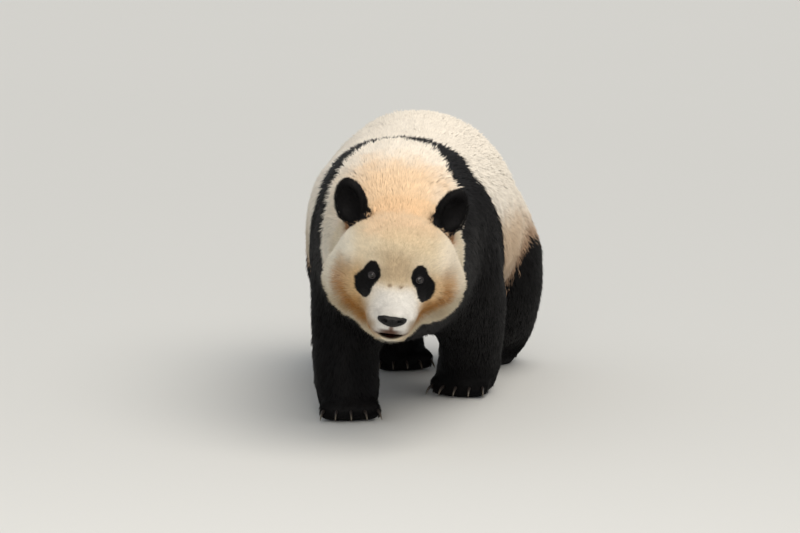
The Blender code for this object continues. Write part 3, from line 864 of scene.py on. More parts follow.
black_names = [name for name in FLESH if name.startswith(BLACK_SOLIDS)]
cream_names = [name for name in FLESH if name not in black_names]
black_side = distance_to(cream_names) - distance_to(black_names)
black_side = np.clip(black_side, -FURTHEST, FURTHEST)
calm = spread(black_side, skin_edges, BAND_CALM)
x, y, z = outer.T
black_side += (calm - black_side) * eased(z, *BAND_FOOT)
black_side = np.clip(banded(black_side, x, y, z), -FURTHEST, FURTHEST)
behind_middle = y > by_side(FORE_END, x)
thigh_side = np.where(behind_middle, hind_black(x, y, z), 1.0)
black_side = np.minimum(black_side, thigh_side)
surely_black = behind_middle & (black_side > 0) & (z < THIGH_STRAY_END)
black_side += 0.5 * (THIGH_STRAY_END - z) * surely_black
black_side = spread(np.maximum(black_side, patches), skin_edges, 2)
print("share of the skin that is black:", round(float((black_side > 0).mean()), 2))

# %% [markdown]
# ## The cream coat's colours
# The pale coat isn't one colour. The back is nearly white, the nape and rump are
# warmer, the muzzle is white, the lower cheeks are stained brown, and the belly is
# a darker brown. The flanks beside the hind legs are stained brown and darkened
# by painted shade. The head, its forehead and brow are painted darker as shade, the
# temples painted lighter as light, and the right side of the neck and the right
# flank greyer as painted shade.
# Each tint is a soft cloud round a place: on the head in its own frame, on the
# body in the model's. Their order matters, because each covers those before it.

# %% Tints of the body and the head
# middle and reach in mm along x, y and z; share is how much of the tint shows there;
# a higher edge makes a cloud squarer and its border sharper
Tint = namedtuple("Tint", "colour middle reach share edge", defaults=(4,))
# the head's base colour is darker than the body's: painted shade on the head
BODY_BASE, SHADED_HEAD_BASE = "#fbf2e3", "#d9caae"
BODY_TINTS = (
    Tint("#f0cda3", (0, -430, 580), (150, 180, 115), 0.9),  # nape
    # the neck's right side is greyer: painted shade on the side away from the light
    Tint("#d8d1c0", (-190, -380, 520), (60, 160, 110), 0.7),  # right side of the neck
    Tint("#f3dec4", (0, 640, 520), (200, 120, 150), 0.6),  # rump
    Tint("#dcbf9e", (260, 150, 380), (140, 330, 90), 0.85),  # left flank
    # the right flank is greyer than the left: painted shade on the side away from the light
    Tint("#c9bba3", (-260, 150, 370), (140, 330, 110), 0.85),  # right flank
    Tint("#9c7c5e", (0, 200, 200), (300, 400, 165), 0.88),  # belly
    Tint("#c3a884", (0, -420, 330), (200, 160, 80), 0.75),  # throat
)
HEAD_TINTS = (
    Tint("#ecc9a3", (0, 60, 122), (115, 120, 40), 0.8),  # crown
    Tint("#f4cb9e", (0, 212, 138), (110, 62, 44), 0.8),  # behind the crown
    # forehead and brow: painted shade, darker than the head round them
    Tint("#cdb997", (20, 10, 84), (76, 90, 34), 0.65),  # forehead
    Tint("#b49f80", (0, -10, 24), (46, 80, 42), 0.9),  # brow
    # the temples are painted light: paler than the head where its sides turn from the lamps, the right
    # one most
    Tint("#f5e8d2", (142, 80, 24), (42, 110, 74), 0.88),  # temples
    Tint("#faf2df", (-144, 80, 12), (42, 110, 82), 0.92),
    Tint("#dfb680", (114, 20, -40), (36, 90, 54), 0.75),  # tan of the cheeks
    Tint("#d0a569", (-112, 20, -34), (34, 90, 60), 0.75),
    Tint("#ab7d46", (84, 0, -80), (40, 90, 26), 0.8),
    Tint("#b08248", (-86, 10, -88), (40, 90, 28), 0.8),
    Tint("#a9824f", (92, 20, -114), (50, 100, 26), 0.8),  # under the cheeks
    Tint("#a98350", (-96, 20, -116), (54, 100, 30), 0.85),
)
print("tints of the body and the head:", len(BODY_TINTS) + len(HEAD_TINTS))

# %% Tints of the face, over its stains
FACE_TINTS = (
    Tint("#dccfb8", (118, 60, -134), (60, 90, 12), 0.45),  # pale fringe under the cheeks
    Tint("#dccfb8", (-118, 60, -142), (60, 90, 12), 0.45),
    Tint("#d9d6cf", (0, -60, -56), (59, 70, 40), 1.0, 6),  # white muzzle
    Tint("#e2dfd8", (0, -60, -94), (45, 70, 24), 1.0, 6),
    Tint("#f4f1ea", (34, -60, -66), (26, 60, 34), 0.7),
    Tint("#857059", (15, -30, -14), (6, 30, 3.4), 0.8),  # creases at its root
    Tint("#857059", (-13, -30, -13), (6, 30, 3.4), 0.8),
    Tint("#b3a48e", (50, -70, -98), (12, 40, 14), 0.6),  # lower sides of the muzzle
    Tint("#a39580", (-50, -70, -100), (12, 40, 14), 0.6),
    # the groove's dark brown is partly the nose's painted shadow falling on it
    Tint("#6b4a35", (0, -92, -101), (6, 30, 7), 0.8),  # the bare groove under the nose
    Tint("#523020", (-2, -90, -111), (26, 30, 7.5), 0.95),  # upper lip
    Tint("#e0dacb", (-2, -85, -136), (25, 40, 5), 0.8),  # lower lip
    # the chin's dark brown is partly painted shadow under the mouth
    Tint("#7d5d3c", (0, -60, -150), (30, 60, 8), 0.8),  # chin
)
print("tints of the face:", len(FACE_TINTS))

# %% Soft clouds of colour
MOTTLE = 0.22  # how far the tints' borders wander, as a share of their reach


def cloudy(places, size):
    """Soft noise of about -1 to 1, with lumps of the given size, at each place."""
    return np.array([noise.noise(p) for p in (places / size).tolist()])


def covered(colour, code, share):
    return colour + (np.array(linear(code)[:3]) - colour) * np.clip(share, 0, 1)[:, None]


def tinted(colour, tints, place, wander):
    for tint in tints:
        away = np.abs((place / MM - tint.middle) / tint.reach) * (1 + wander[:, None])
        colour = covered(colour, tint.colour, tint.share * np.exp(-(away**tint.edge).sum(axis=1)))
    return colour


wander = MOTTLE * (cloudy(outer, 0.040) + 0.5 * cloudy(outer, 0.014))
print("the tints' borders wander by up to", round(100 * float(np.abs(wander).max())), "percent")

# %% Stains and small marks
# the strongest stain is an arc that runs down outside each eye patch and in under it
STAIN = "#aa702c"
STAIN_CENTRE = (66, -33)  # of the arc, across and up in the head's frame, mm
STAIN_RADIUS = {"left": 71, "right": 78}  # mm
STAIN_HALF_WIDTH = 19  # mm
STAIN_MIDDLE, STAIN_REACH = math.radians(-50), math.radians(74)  # along the arc
STAIN_BACK = (0.100, 0.070)  # the arc ends between these, behind the eyes, m
# the brown beside the hind legs is a stain darkened further by painted shade
THIGH_STAIN_AND_SHADE, THIGH_STAIN_AND_SHADE_REACH, THIGH_STAIN_AND_SHADE_TOP = "#a18065", 0.055, 0.42
LIP_REACH = 3.5 * MM  # how far the lips' brown goes from their line
LIP_ENDS = (0.055, 0.030)
EAR_TUFT, TUFT_PLACE, TUFT_REACH = "#b27a50", (130, 180, 68), (17, 26, 15)
EAR_BORDER = "#8c6a48"
# the inside of the mouth is dark red, darkened further as painted shade
MOUTH_RED_AND_SHADE, LIP_BROWN = "#261008", "#523423"
STREAKS, STREAK_SIZE = 0.8, 6 * MM  # how uneven the strong stain is
UNEVEN, UNEVEN_SIZE = 0.07, 11 * MM  # how much brightness varies over the whole coat


def stain_share(at):
    across, up = np.abs(at[:, 0]) / MM - STAIN_CENTRE[0], at[:, 2] / MM - STAIN_CENTRE[1]
    off_ring = (np.hypot(across, up) - by_side(STAIN_RADIUS, at[:, 0])) / STAIN_HALF_WIDTH
    off_middle = (np.arctan2(up, across) - STAIN_MIDDLE) / STAIN_REACH
    return np.exp(-(off_ring**2) - off_middle**4) * eased(at[:, 1], *STAIN_BACK)


at = in_head(outer)
print("points on the strong stain:", int((stain_share(at) > 0.5).sum()))

# %% Colour the skin
head_part = spread(on_head.astype(float), skin_edges, 10)[:, None]
blank = np.ones((len(outer), 1))
colour = tinted(blank * linear(BODY_BASE)[:3], BODY_TINTS, outer, wander)
face = tinted(blank * linear(SHADED_HEAD_BASE)[:3], HEAD_TINTS, at, wander)
streaky = 1 + 1.5 * wander + STREAKS * cloudy(outer, STREAK_SIZE)
face = covered(face, STAIN, 0.85 * stain_share(at) * streaky)
face = tinted(face, FACE_TINTS, at, 0.4 * wander)
lip_line = hump(line_height, LIP_REACH) * eased(np.abs(at[:, 0]), *LIP_ENDS)
face = covered(face, LIP_BROWN, 0.7 * lip_line)
colour += (face - colour) * head_part
# beside the hind legs: a brown stain, darkened as painted shade
stain = hump(thigh_side, THIGH_STAIN_AND_SHADE_REACH) * behind_middle * (z < THIGH_STAIN_AND_SHADE_TOP)
colour = covered(colour, THIGH_STAIN_AND_SHADE, 0.85 * stain * (1 + wander))
colour *= (1 + UNEVEN * cloudy(outer, UNEVEN_SIZE))[:, None]

# the ears' outer bases carry a tan tuft
one_side = at * np.where(at[:, :1] < 0, (-1, 1, 1), (1, 1, 1))
to_tuft = (one_side / MM - TUFT_PLACE) / TUFT_REACH
tuft_share = np.exp(-(to_tuft**2).sum(axis=1))
black_side = np.where(tuft_share > 0.45, -2 * MM, black_side)
colour = covered(colour, EAR_TUFT, 1.3 * tuft_share)

# inside the mouth the skin is dark red, darkened further as painted shade
wet = spread(in_mouth, skin_edges, 1)
colour = covered(colour, MOUTH_RED_AND_SHADE, 1.6 * wet)
print("mean colour, linear:", np.round(colour.mean(axis=0), 2))

# %% [markdown]
# ## The lie of the coat
# Hair grows away from the nose: up the forehead, back over the cheeks and the neck,
# along the back, down the flanks and legs, and forward on the paws. At each point
# of the skin one direction is chosen by the part it is on, laid flat on the skin,
# and smoothed, so that the hair turns gently from one part to the next. A lock
# covers the skin ahead of its root, so it takes its colour from there.

# %% Which way the hair lies
outward = normals_of(skin_mesh)
smooth_outward = unit(spread(outward, skin_edges, 4))
sideways = np.abs(outward[:, 0])
rearward = np.maximum(outward[:, 1], 0)
# on the body it lies back, and the steeper the skin, the more it lies down
lie = np.stack([0 * sideways, 1 - 0.5 * rearward, -0.22 - 0.75 * sideways - 1.4 * rearward], 1)
WHORL = from_head(nose_in_head + (0, 0.022, 0.006))  # the face's hair starts here
FACE_FALL = 0.30  # and lies down by this much
LIE_OF = {"leg": (0, 0.22, -1), "paw": (0, -0.85, -0.5), "tail": (0, 0.35, -1)}
for index, name in enumerate(FLESH):
    mine = owner == index
    kind = kind_of(name)
    if kind in LIE_OF:
        lie[mine] = LIE_OF[kind]
    elif kind == "head":
        lie[mine] = unit(outer[mine] - WHORL) - FACE_FALL * np.array(head_up)
    elif kind == "ear":
        low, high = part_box(name)
        root = np.array([(low.x + high.x) / 2, (low.y + high.y) / 2, low.z - 0.01])
        lie[mine] = unit(outer[mine] - root)


def flat_on_skin(vectors):
    return unit(vectors - (vectors * smooth_outward).sum(axis=1, keepdims=True) * smooth_outward)


lie = flat_on_skin(spread(flat_on_skin(unit(lie)), skin_edges, 12))
print("mean lie on the trunk:", np.round(lie[owner == FLESH.index("trunk")].mean(axis=0), 2))

# %% Look ahead along the hair
LOOK_AHEAD = 0.55  # a lock shows the colour of the skin this share of its length ahead
EAR_BORDER_BREADTH = 0.012
EAR_BORDER_REACH = (0.11, 0.08)  # from an ear's middle, m

ahead_tree = KDTree(len(outer))
for index, place in enumerate(outer.tolist()):
    ahead_tree.insert(place, index)
ahead_tree.balance()
tips = outer + lie * (LOOK_AHEAD * MM * coat[:, 1])[:, None]
ahead = np.array([ahead_tree.find(tip)[1] for tip in tips.tolist()])
moved = np.linalg.norm(outer[ahead] - outer, axis=1)
print("mean look ahead, mm:", round(float(moved.mean()) / MM, 1))

# short hair at the ears' roots keeps their border crisp
to_ear = np.min([distance_from(place) for place in ears], axis=0)
at_ear_border = hump(black_side, EAR_BORDER_BREADTH) * eased(to_ear, *EAR_BORDER_REACH)
coat[:, 1] *= 1 - 0.5 * at_ear_border
colour = covered(colour, EAR_BORDER, 0.7 * at_ear_border)

# %% Store what the coat needs on the skin's points
HAIRLESS = 1.42  # no locks nearer to an eye than this, as a share of its slit
hairless = (lid_edge < HAIRLESS) | (in_mouth > 0.25) | sole
colour = np.hstack([colour, blank])
measures = {
    "coat_colour": colour,
    "hair_colour": colour[ahead],
    "black_side": black_side,
    "hair_black_side": black_side[ahead],
    "lie": lie,
    "outward": smooth_outward,
    "strand": coat[:, 1] * MM,
    "breadth": coat[:, 2] * MM,
    "lift": np.radians(coat[:, 3]),
    "crowding": coat[:, 4] * 1000.0 * ~hairless,
    "wet": wet,
}
for name, values in measures.items():
    write_attribute(skin_mesh, name, values)
print("points that grow no hair:", int(hairless.sum()))

# %% [markdown]
# ## Regions of the coat
# One mesh of all the hair would be too heavy to handle, so the coat is made region
# by region. Each is a copy of part of the skin, unwrapped by its own shape. Every
# lock later gets a small patch of that map, at the place where it is rooted.

# %% Name each face's region
face_corners = read_rows(skin_mesh.polygons, "vertices", 3, np.int32)
corners = points[face_corners]
middles = corners.mean(axis=1)
cross = np.cross(corners[:, 1] - corners[:, 0], corners[:, 2] - corners[:, 0])
face_areas = np.linalg.norm(cross, axis=1) / 2
face_up = cross[:, 2] / np.maximum(2 * face_areas, 1e-12)
body_side = np.where(middles[:, 0] > 0, *SIDES)
head_side = np.where(in_head(middles)[:, 0] > 0, *SIDES)
BACK_SLOPE = 0.62  # a trunk face that looks up more than this is on the back


def regions_of_faces():
    """The name of each face's region: a limb with its paw, or half the head or trunk."""
    region = np.empty(len(middles), dtype="<U24")
    face_owner = owner[face_corners[:, 0]]
    for index, name in enumerate(FLESH):
        mine = face_owner == index
        kind = kind_of(name)
        if kind in ("leg", "paw"):
            limb = "foreleg" if "fore" in name else "hind_leg"
            region[mine] = f"coat_{limb}_{name.split('_')[-1]}"
        elif kind == "head":
            region[mine] = np.char.add("coat_head_", head_side[mine])
        elif kind == "trunk":
            flank = np.char.add("coat_flank_", body_side[mine])
            region[mine] = np.where(face_up[mine] > BACK_SLOPE, "coat_back", flank)
        else:
            region[mine] = f"coat_{name}"
    return region


face_region = regions_of_faces()
locks_wanted = face_areas * measures["crowding"][face_corners].mean(axis=1)
for name in np.unique(face_region):
    mine = face_region == name
    area, locks = float(face_areas[mine].sum()), int(locks_wanted[mine].sum())
    print(name, round(area, 3), "square metres,", locks, "locks wanted")

# %% Copy a region of the skin and unwrap it
UNWRAP = {"angle_limit": math.radians(66), "island_margin": 0.004, "scale_to_bounds": True}


def region_object(name):
    used, faces = np.unique(face_corners[face_region == name], return_inverse=True)
    mesh = bpy.data.meshes.new(name)
    mesh.from_pydata(points[used].tolist(), [], faces.reshape(-1, 3).tolist())
    for key, values in measures.items():
        write_attribute(mesh, key, values[used])
    mesh.uv_layers.new(name="root_map")
    obj = shown(name, mesh)
    bpy.context.view_layer.objects.active = obj
    obj.select_set(True)
    bpy.ops.object.mode_set(mode="EDIT")
    bpy.ops.mesh.select_all(action="SELECT")
    bpy.ops.uv.smart_project(**UNWRAP)
    bpy.ops.object.mode_set(mode="OBJECT")
    obj.select_set(False)
    return obj


print("regions:", len(np.unique(face_region)))

# %% [markdown]
# ## A lock of hair
# Each lock is a small closed solid: it starts in a point, is widest before its
# middle, where it has a ridge on top, and ends in a point. It is one unit long, so
# that it can be scaled to any part of the coat, and it is bowed, so that its tip
# bends back to the body. It has only five points, since a coat holds over two
# hundred thousand locks: many thin plain ones look softer than a few fine ones.

# %% Make the lock
WIDEST = 0.38  # where along the lock its ring lies
BOW = 0.085  # rise of the ring over the line from root to tip, as a share of the length
RIDGE = 0.035  # height of the ridge over the ring's sides, as a share of the length


def lock_mesh():
    mesh = bpy.data.meshes.new("lock")
    ring = [(-0.5, WIDEST, BOW), (0.5, WIDEST, BOW), (0, WIDEST, BOW + RIDGE)]
    places = [(0, 0, 0), *ring, (0, 1, 0)]
    root, left, right, top, tip = range(5)
    faces = []
    for i, j in ((left, right), (right, top), (top, left)):
        faces += [(root, i, j), (tip, j, i)]
    mesh.from_pydata(places, [], faces)
    # the lock's place on the map is its own outline, seen from above
    write_attribute(mesh, "patch", np.array([(x, y - 0.5, 0) for x, y, _ in places]))
    write_attribute(mesh, "along", np.array([y for _, y, _ in places]))
    return mesh


lock = shown("lock", lock_mesh())
print("a lock has", len(lock.data.polygons), "triangles")

# %% [markdown]
# ## The coat's tree
# Geometry Nodes plant the locks. Points are scattered evenly over a region, as
# densely as the skin says. Each takes its direction from the lie of the coat, its
# size from the table, and a turn and a lift from a soft noise, which neighbours
# share, so that the hair falls into clumps. A finer noise makes some tufts paler
# than others. A lock decides by chance whether it is black where the markings
# meet. The locks are then made real and given their map.

# %% What the tree takes in
SOCKETS = (
    ("Skin", "NodeSocketGeometry", None),
    ("Lock", "NodeSocketObject", None),
    ("Fur", "NodeSocketMaterial", None),
    ("Crowd", "NodeSocketFloat", 40000.0),  # locks on a square metre where it is densest
    ("Clump", "NodeSocketFloat", 0.03),  # size of a clump, m
    ("Clump Turn", "NodeSocketFloat", 0.6),  # radians
    ("Clump Lift", "NodeSocketFloat", 0.35),  # radians
    ("Ragged", "NodeSocketFloat", 0.005),  # how far the black's edge strays, m
    ("Patch", "NodeSocketFloat", 0.003),  # size of a lock's place on the map
    ("Floor", "NodeSocketFloat", 0.0008),  # lowest height of a lock, m
    ("Seed", "NodeSocketInt", 1),
)
# what it reads from the skin and from the lock
NUMBERS = ("crowding", "hair_black_side", "lift", "strand", "breadth")
VECTORS = ("outward", "lie", "patch", "root_map")
# each lock's own chances: lowest and highest value, and the number added to the seed
CHANCES = {
    "stray": (-1.0, 1.0, 11),
    "hue": (-0.5, 0.5, 12),
    "turn": (-0.22, 0.22, 13),
    "lift": (-0.12, 0.12, 14),
    "roll": (-0.5, 0.5, 15),
    "length": (0.72, 1.18, 16),
    "breadth": (0.75, 1.25, 17),
}
OVERCROWD = 1.8  # points are scattered this many times too densely, and close ones dropped
APART = 0.5  # least distance between two roots, as a share of the mean one
TUFT_SHARE = 0.3  # size of a tuft of one brightness, as a share of a clump
TUFT_CONTRAST, CLUMP_CONTRAST = 3.0, 3.2
LEAST_LIFT = 0.10  # radians
print("inputs of the tree:", len(SOCKETS), "and chances of a lock:", len(CHANCES))

# %% Start the tree
MATH, MIX_VECTORS, NOISE = "ShaderNodeMath", "ShaderNodeVectorMath", "ShaderNodeTexNoise"
JOIN, PART = "ShaderNodeCombineXYZ", "ShaderNodeSeparateXYZ"
READ, STORE = "GeometryNodeInputNamedAttribute", "GeometryNodeStoreNamedAttribute"


def started_tree():
    """A tree with what it is given, what it reads from the skin, and its chances."""
    tree = bpy.data.node_groups.new("coat of locks", "GeometryNodeTree")
    for name, kind, value in SOCKETS:
        made = tree.interface.new_socket(name, in_out="INPUT", socket_type=kind)
        if value is not None:
            made.default_value = value
    tree.interface.new_socket("Coat", in_out="OUTPUT", socket_type="NodeSocketGeometry")
    given = add_node(tree, "NodeGroupInput").outputs
    read, chance = {}, {}
    for name in NUMBERS + VECTORS:
        kind = "FLOAT" if name in NUMBERS else "FLOAT_VECTOR"
        read[name] = add_node(tree, READ, {"Name": name}, data_type=kind).outputs[0]
    for name, (low, high, number) in CHANCES.items():
        seed = add_node(tree, MATH, (given["Seed"], number), operation="ADD").outputs[0]
        inputs = {2: low, 3: high, "Seed": seed}
        made = add_node(tree, "FunctionNodeRandomValue", inputs, data_type="FLOAT")
        chance[name] = made.outputs[1]
    return tree, given, read, chance


tree, given, read, chance = started_tree()
print("the tree starts with", len(tree.nodes), "nodes")

# %% Plant the roots
def planted_points(tree, given, read, chance):
    """Roots of the locks. Each knows whether it is black, and how bright it is."""
    crowd = given["Crowd"]
    spacing = add_node(tree, MATH, (crowd,), operation="SQRT").outputs[0]
    inputs = {
        "Mesh": given["Skin"],
        "Distance Min": add_node(tree, MATH, (APART, spacing), operation="DIVIDE").outputs[0],
        "Density Max": add_node(tree, MATH, (crowd, OVERCROWD), operation="MULTIPLY").outputs[0],
        "Density Factor": add_node(tree, MATH, (read["crowding"], crowd), operation="DIVIDE").outputs[0],
        "Seed": given["Seed"],
    }
    scatter = "GeometryNodeDistributePointsOnFaces"
    points = add_node(tree, scatter, inputs, distribute_method="POISSON").outputs["Points"]

    stray = add_node(tree, MATH, (chance["stray"], 3.0), operation="POWER").outputs[0]
    stray = add_node(tree, MATH, (given["Ragged"], stray), operation="MULTIPLY").outputs[0]
    side = add_node(tree, MATH, (read["hair_black_side"], stray), operation="ADD").outputs[0]
    tuft = add_node(tree, MATH, (given["Clump"], TUFT_SHARE), operation="MULTIPLY").outputs[0]
    tuft = add_node(tree, MATH, (1.0, tuft), operation="DIVIDE").outputs[0]
    tuft = add_node(tree, NOISE, {"Scale": tuft, "Detail": 1.0}).outputs[0]
    tuft = add_node(tree, MATH, (tuft, 0.5), operation="SUBTRACT").outputs[0]
    tuft = add_node(tree, MATH, (tuft, TUFT_CONTRAST), operation="MULTIPLY").outputs[0]
    kept = {
        "black": add_node(tree, MATH, (side, 0.0), operation="GREATER_THAN").outputs[0],
        "hue": add_node(tree, MATH, (tuft, chance["hue"]), operation="ADD").outputs[0],
    }
    for name, value in kept.items():
        inputs = {"Geometry": points, "Name": name, "Value": value}
        points = add_node(tree, STORE, inputs).outputs[0]
    return points


roots = planted_points(tree, given, read, chance)
print("with the roots:", len(tree.nodes), "nodes")

# %% Turn the locks
def directions(tree, given, read, chance):
    """How each lock is turned: by the lie of the coat, its clump, and its own chance."""
    axes = {"primary_axis": "Z", "secondary_axis": "Y"}
    facing = (read["outward"], read["lie"])
    facing = add_node(tree, "FunctionNodeAxesToRotation", facing, **axes).outputs[0]
    scale = add_node(tree, MATH, (1.0, given["Clump"]), operation="DIVIDE").outputs[0]
    clump = add_node(tree, NOISE, {"Scale": scale, "Detail": 1.0, "Roughness": 0.6})
    clump = add_node(tree, PART, (clump.outputs["Color"],)).outputs
    sway = {}
    for channel, name, size in ((0, "turn", "Clump Turn"), (1, "lift", "Clump Lift")):
        shared = add_node(tree, MATH, (clump[channel], 0.5), operation="SUBTRACT").outputs[0]
        shared = add_node(tree, MATH, (shared, CLUMP_CONTRAST), operation="MULTIPLY").outputs[0]
        shared = add_node(tree, MATH, (shared, given[size]), operation="MULTIPLY").outputs[0]
        sway[name] = add_node(tree, MATH, (shared, chance[name]), operation="ADD").outputs[0]
    lift = add_node(tree, MATH, (read["lift"], sway["lift"]), operation="ADD").outputs[0]
    lift = add_node(tree, MATH, (lift, LEAST_LIFT), operation="MAXIMUM").outputs[0]
    angles = add_node(tree, JOIN, (lift, chance["roll"], sway["turn"])).outputs[0]
    angles = add_node(tree, "FunctionNodeEulerToRotation", (angles,)).outputs[0]
    turn = "FunctionNodeRotateRotation"
    return add_node(tree, turn, (facing, angles), rotation_space="LOCAL").outputs[0]


rotation = directions(tree, given, read, chance)
print("with the turns:", len(tree.nodes), "nodes")

# %% Place the locks and finish the tree
def above_floor(tree, coat, given):
    """Lifts what would reach into the floor."""
    place = add_node(tree, "GeometryNodeInputPosition").outputs[0]
    place = add_node(tree, PART, (place,)).outputs
    height = add_node(tree, MATH, (place[2], given["Floor"]), operation="MAXIMUM").outputs[0]
    place = add_node(tree, JOIN, (place[0], place[1], height)).outputs[0]
    return add_node(tree, "GeometryNodeSetPosition", {"Geometry": coat, "Position": place}).outputs[0]


def mapped_coat(tree, coat, given, read):
    """Gives every lock a patch of the region's map, round the place of its root."""
    patch = {0: read["patch"], "Scale": given["Patch"]}
    patch = add_node(tree, MIX_VECTORS, patch, operation="SCALE").outputs[0]
    place = add_node(tree, MIX_VECTORS, (read["root_map"], patch), operation="ADD").outputs[0]
    inputs = {"Geometry": coat, "Name": "OFBake", "Value": place}
    settings = {"data_type": "FLOAT2", "domain": "CORNER"}
    return add_node(tree, STORE, inputs, **settings).outputs[0]


def finish_tree(tree, given, read, chance, roots, rotation):
    """Puts a lock on every root, makes them real and gives them their material."""
    length, breadth = (
        add_node(tree, MATH, (read[key], chance[name]), operation="MULTIPLY").outputs[0]
        for key, name in (("strand", "length"), ("breadth", "breadth"))
    )
    size = add_node(tree, JOIN, (breadth, length, length)).outputs[0]
    lock = add_node(tree, "GeometryNodeObjectInfo", {"Object": given["Lock"]}).outputs["Geometry"]
    inputs = {"Points": roots, "Instance": lock, "Rotation": rotation, "Scale": size}
    locks = add_node(tree, "GeometryNodeInstanceOnPoints", inputs).outputs[0]
    coat = add_node(tree, "GeometryNodeRealizeInstances", (locks,)).outputs[0]
    coat = above_floor(tree, coat, given)
    coat = mapped_coat(tree, coat, given, read)
    coat = add_node(tree, "GeometryNodeSetShadeSmooth", (coat,)).outputs[0]
    coat = add_node(tree, "GeometryNodeSetMaterial", {0: coat, "Material": given["Fur"]}).outputs[0]
    add_node(tree, "NodeGroupOutput", (coat,))


finish_tree(tree, given, read, chance, roots, rotation)
print("coat tree:", len(tree.nodes), "nodes")

# %% [markdown]
# ## Fur and skin
# A guard hair is a thin translucent fibre of horn: pale ones glow softly and have
# little gloss, black ones have a faint sheen. Roots lie in the shade of the hair
# above them, so each lock is darker at its root. The skin below carries the same
# markings, with a fine bump for the underwool that shows between the locks.

# %% Start of every material
ATTRIBUTE, RANGE, MIX = "ShaderNodeAttribute", "ShaderNodeMapRange", "ShaderNodeMix"
COLOURS = {"data_type": "RGBA"}  # how a Mix node mixes colours: sockets 6 and 7 by socket 0
TIMES = {"data_type": "RGBA", "blend_type": "MULTIPLY"}


def new_material(name, **settings):
    """A material with one Principled shader, and its sockets set to the settings."""
    material = bpy.data.materials.new(name)
    material.use_nodes = True
    tree = material.node_tree
    tree.nodes.clear()
    shader = add_node(tree, "ShaderNodeBsdfPrincipled")
    add_node(tree, "ShaderNodeOutputMaterial", {"Surface": shader.outputs[0]})
    for key, value in settings.items():
        shader.inputs[key.replace("_", " ")].default_value = value
    return material, tree, shader.inputs


print("materials so far:", len(bpy.data.materials))

# %% Guard hair
BLACK_FUR, BLACK_TIP = "#080708", "#131112"
ROOT_SHADE, TIP_SHADE = 0.84, 1.04
CREAM_TUFTS, BLACK_TUFTS = (0.84, 1.08), (0.6, 1.5)  # brightness of the dullest and brightest


def fur_material():
    """Hair scatters light softly, so it has hardly any gloss, and a faint sheen."""
    settings = {"Specular_IOR_Level": 0.12, "Sheen_Weight": 0.02, "Sheen_Roughness": 0.5}
    material, tree, shader = new_material("guard hair, cream and black", **settings)
    hue, along, is_black = (
        add_node(tree, ATTRIBUTE, attribute_name=name).outputs["Fac"]
        for name in ("hue", "along", "black")
    )
    coat_colour = add_node(tree, ATTRIBUTE, attribute_name="hair_colour").outputs["Color"]
    shade = add_node(tree, RANGE, (along, 0.0, 0.7, ROOT_SHADE, TIP_SHADE)).outputs[0]
    cream_tuft = add_node(tree, RANGE, (hue, -1, 1, *CREAM_TUFTS)).outputs[0]
    black_tuft = add_node(tree, RANGE, (hue, -1, 1, *BLACK_TUFTS)).outputs[0]
    shade = add_node(tree, MATH, (shade, cream_tuft), operation="MULTIPLY").outputs[0]
    cream = add_node(tree, MIX, {0: 1.0, 6: coat_colour, 7: shade}, **TIMES).outputs[2]
    to_tip = add_node(tree, RANGE, (along, 0.5, 1.0, 0.0, 0.8)).outputs[0]
    black = {0: to_tip, 6: linear(BLACK_FUR), 7: linear(BLACK_TIP)}
    black = add_node(tree, MIX, black, **COLOURS).outputs[2]
    black = add_node(tree, MIX, {0: 1.0, 6: black, 7: black_tuft}, **TIMES).outputs[2]
    colour = add_node(tree, MIX, {0: is_black, 6: cream, 7: black}, **COLOURS).outputs[2]
    tree.links.new(colour, shader["Base Color"])
    roughness = add_node(tree, RANGE, (is_black, 0, 1, 0.75, 0.55)).outputs[0]
    tree.links.new(roughness, shader["Roughness"])
    return material


fur = fur_material()
print("guard hair:", len(fur.node_tree.nodes), "nodes")

# %% Skin
UNDERWOOL_GRAIN = 1.6 * MM
SKIN_STRAY = 3 * MM  # how far the black's edge wanders on the skin
SKIN_EDGE = 1.5 * MM  # half width of that edge


def skin_material():
    """Matt underwool, painted darker than the hair over it as the shade the locks cast, and wet in the
    mouth.
    """
    material, tree, shader = new_material("skin and underwool", Specular_IOR_Level=0.15)
    place = add_node(tree, "ShaderNodeTexCoord").outputs["Object"]
    grain = {"Vector": place, "Scale": 1 / UNDERWOOL_GRAIN, "Detail": 3.0}
    grain = add_node(tree, NOISE, grain).outputs[0]
    black_side, wet = (
        add_node(tree, ATTRIBUTE, attribute_name=name).outputs["Fac"]
        for name in ("black_side", "wet")
    )
    coat_colour = add_node(tree, ATTRIBUTE, attribute_name="coat_colour").outputs["Color"]
    stray = add_node(tree, RANGE, (grain, 0.3, 0.7, -SKIN_STRAY, SKIN_STRAY)).outputs[0]
    side = add_node(tree, MATH, (black_side, stray)).outputs[0]
    is_black = add_node(tree, RANGE, (side, -SKIN_EDGE, SKIN_EDGE, 0.0, 1.0)).outputs[0]
    # the skin is painted 70 to 90 percent as bright as the hair, by its grain: painted shade under the
    # locks
    shade = add_node(tree, RANGE, (grain, 0.3, 0.7, 0.70, 0.90)).outputs[0]
    cream = add_node(tree, MIX, {0: 1.0, 6: coat_colour, 7: shade}, **TIMES).outputs[2]
    colour = {0: is_black, 6: cream, 7: linear(BLACK_FUR)}
    tree.links.new(add_node(tree, MIX, colour, **COLOURS).outputs[2], shader["Base Color"])
    roughness = add_node(tree, RANGE, (wet, 0, 1, 0.80, 0.28)).outputs[0]
    tree.links.new(roughness, shader["Roughness"])
    bump = {"Height": grain, "Distance": 0.8 * MM, "Strength": 0.6}
    tree.links.new(add_node(tree, "ShaderNodeBump", bump).outputs[0], shader["Normal"])
    return material


skin_finish = skin_material()
print("skin:", len(skin_finish.node_tree.nodes), "nodes")

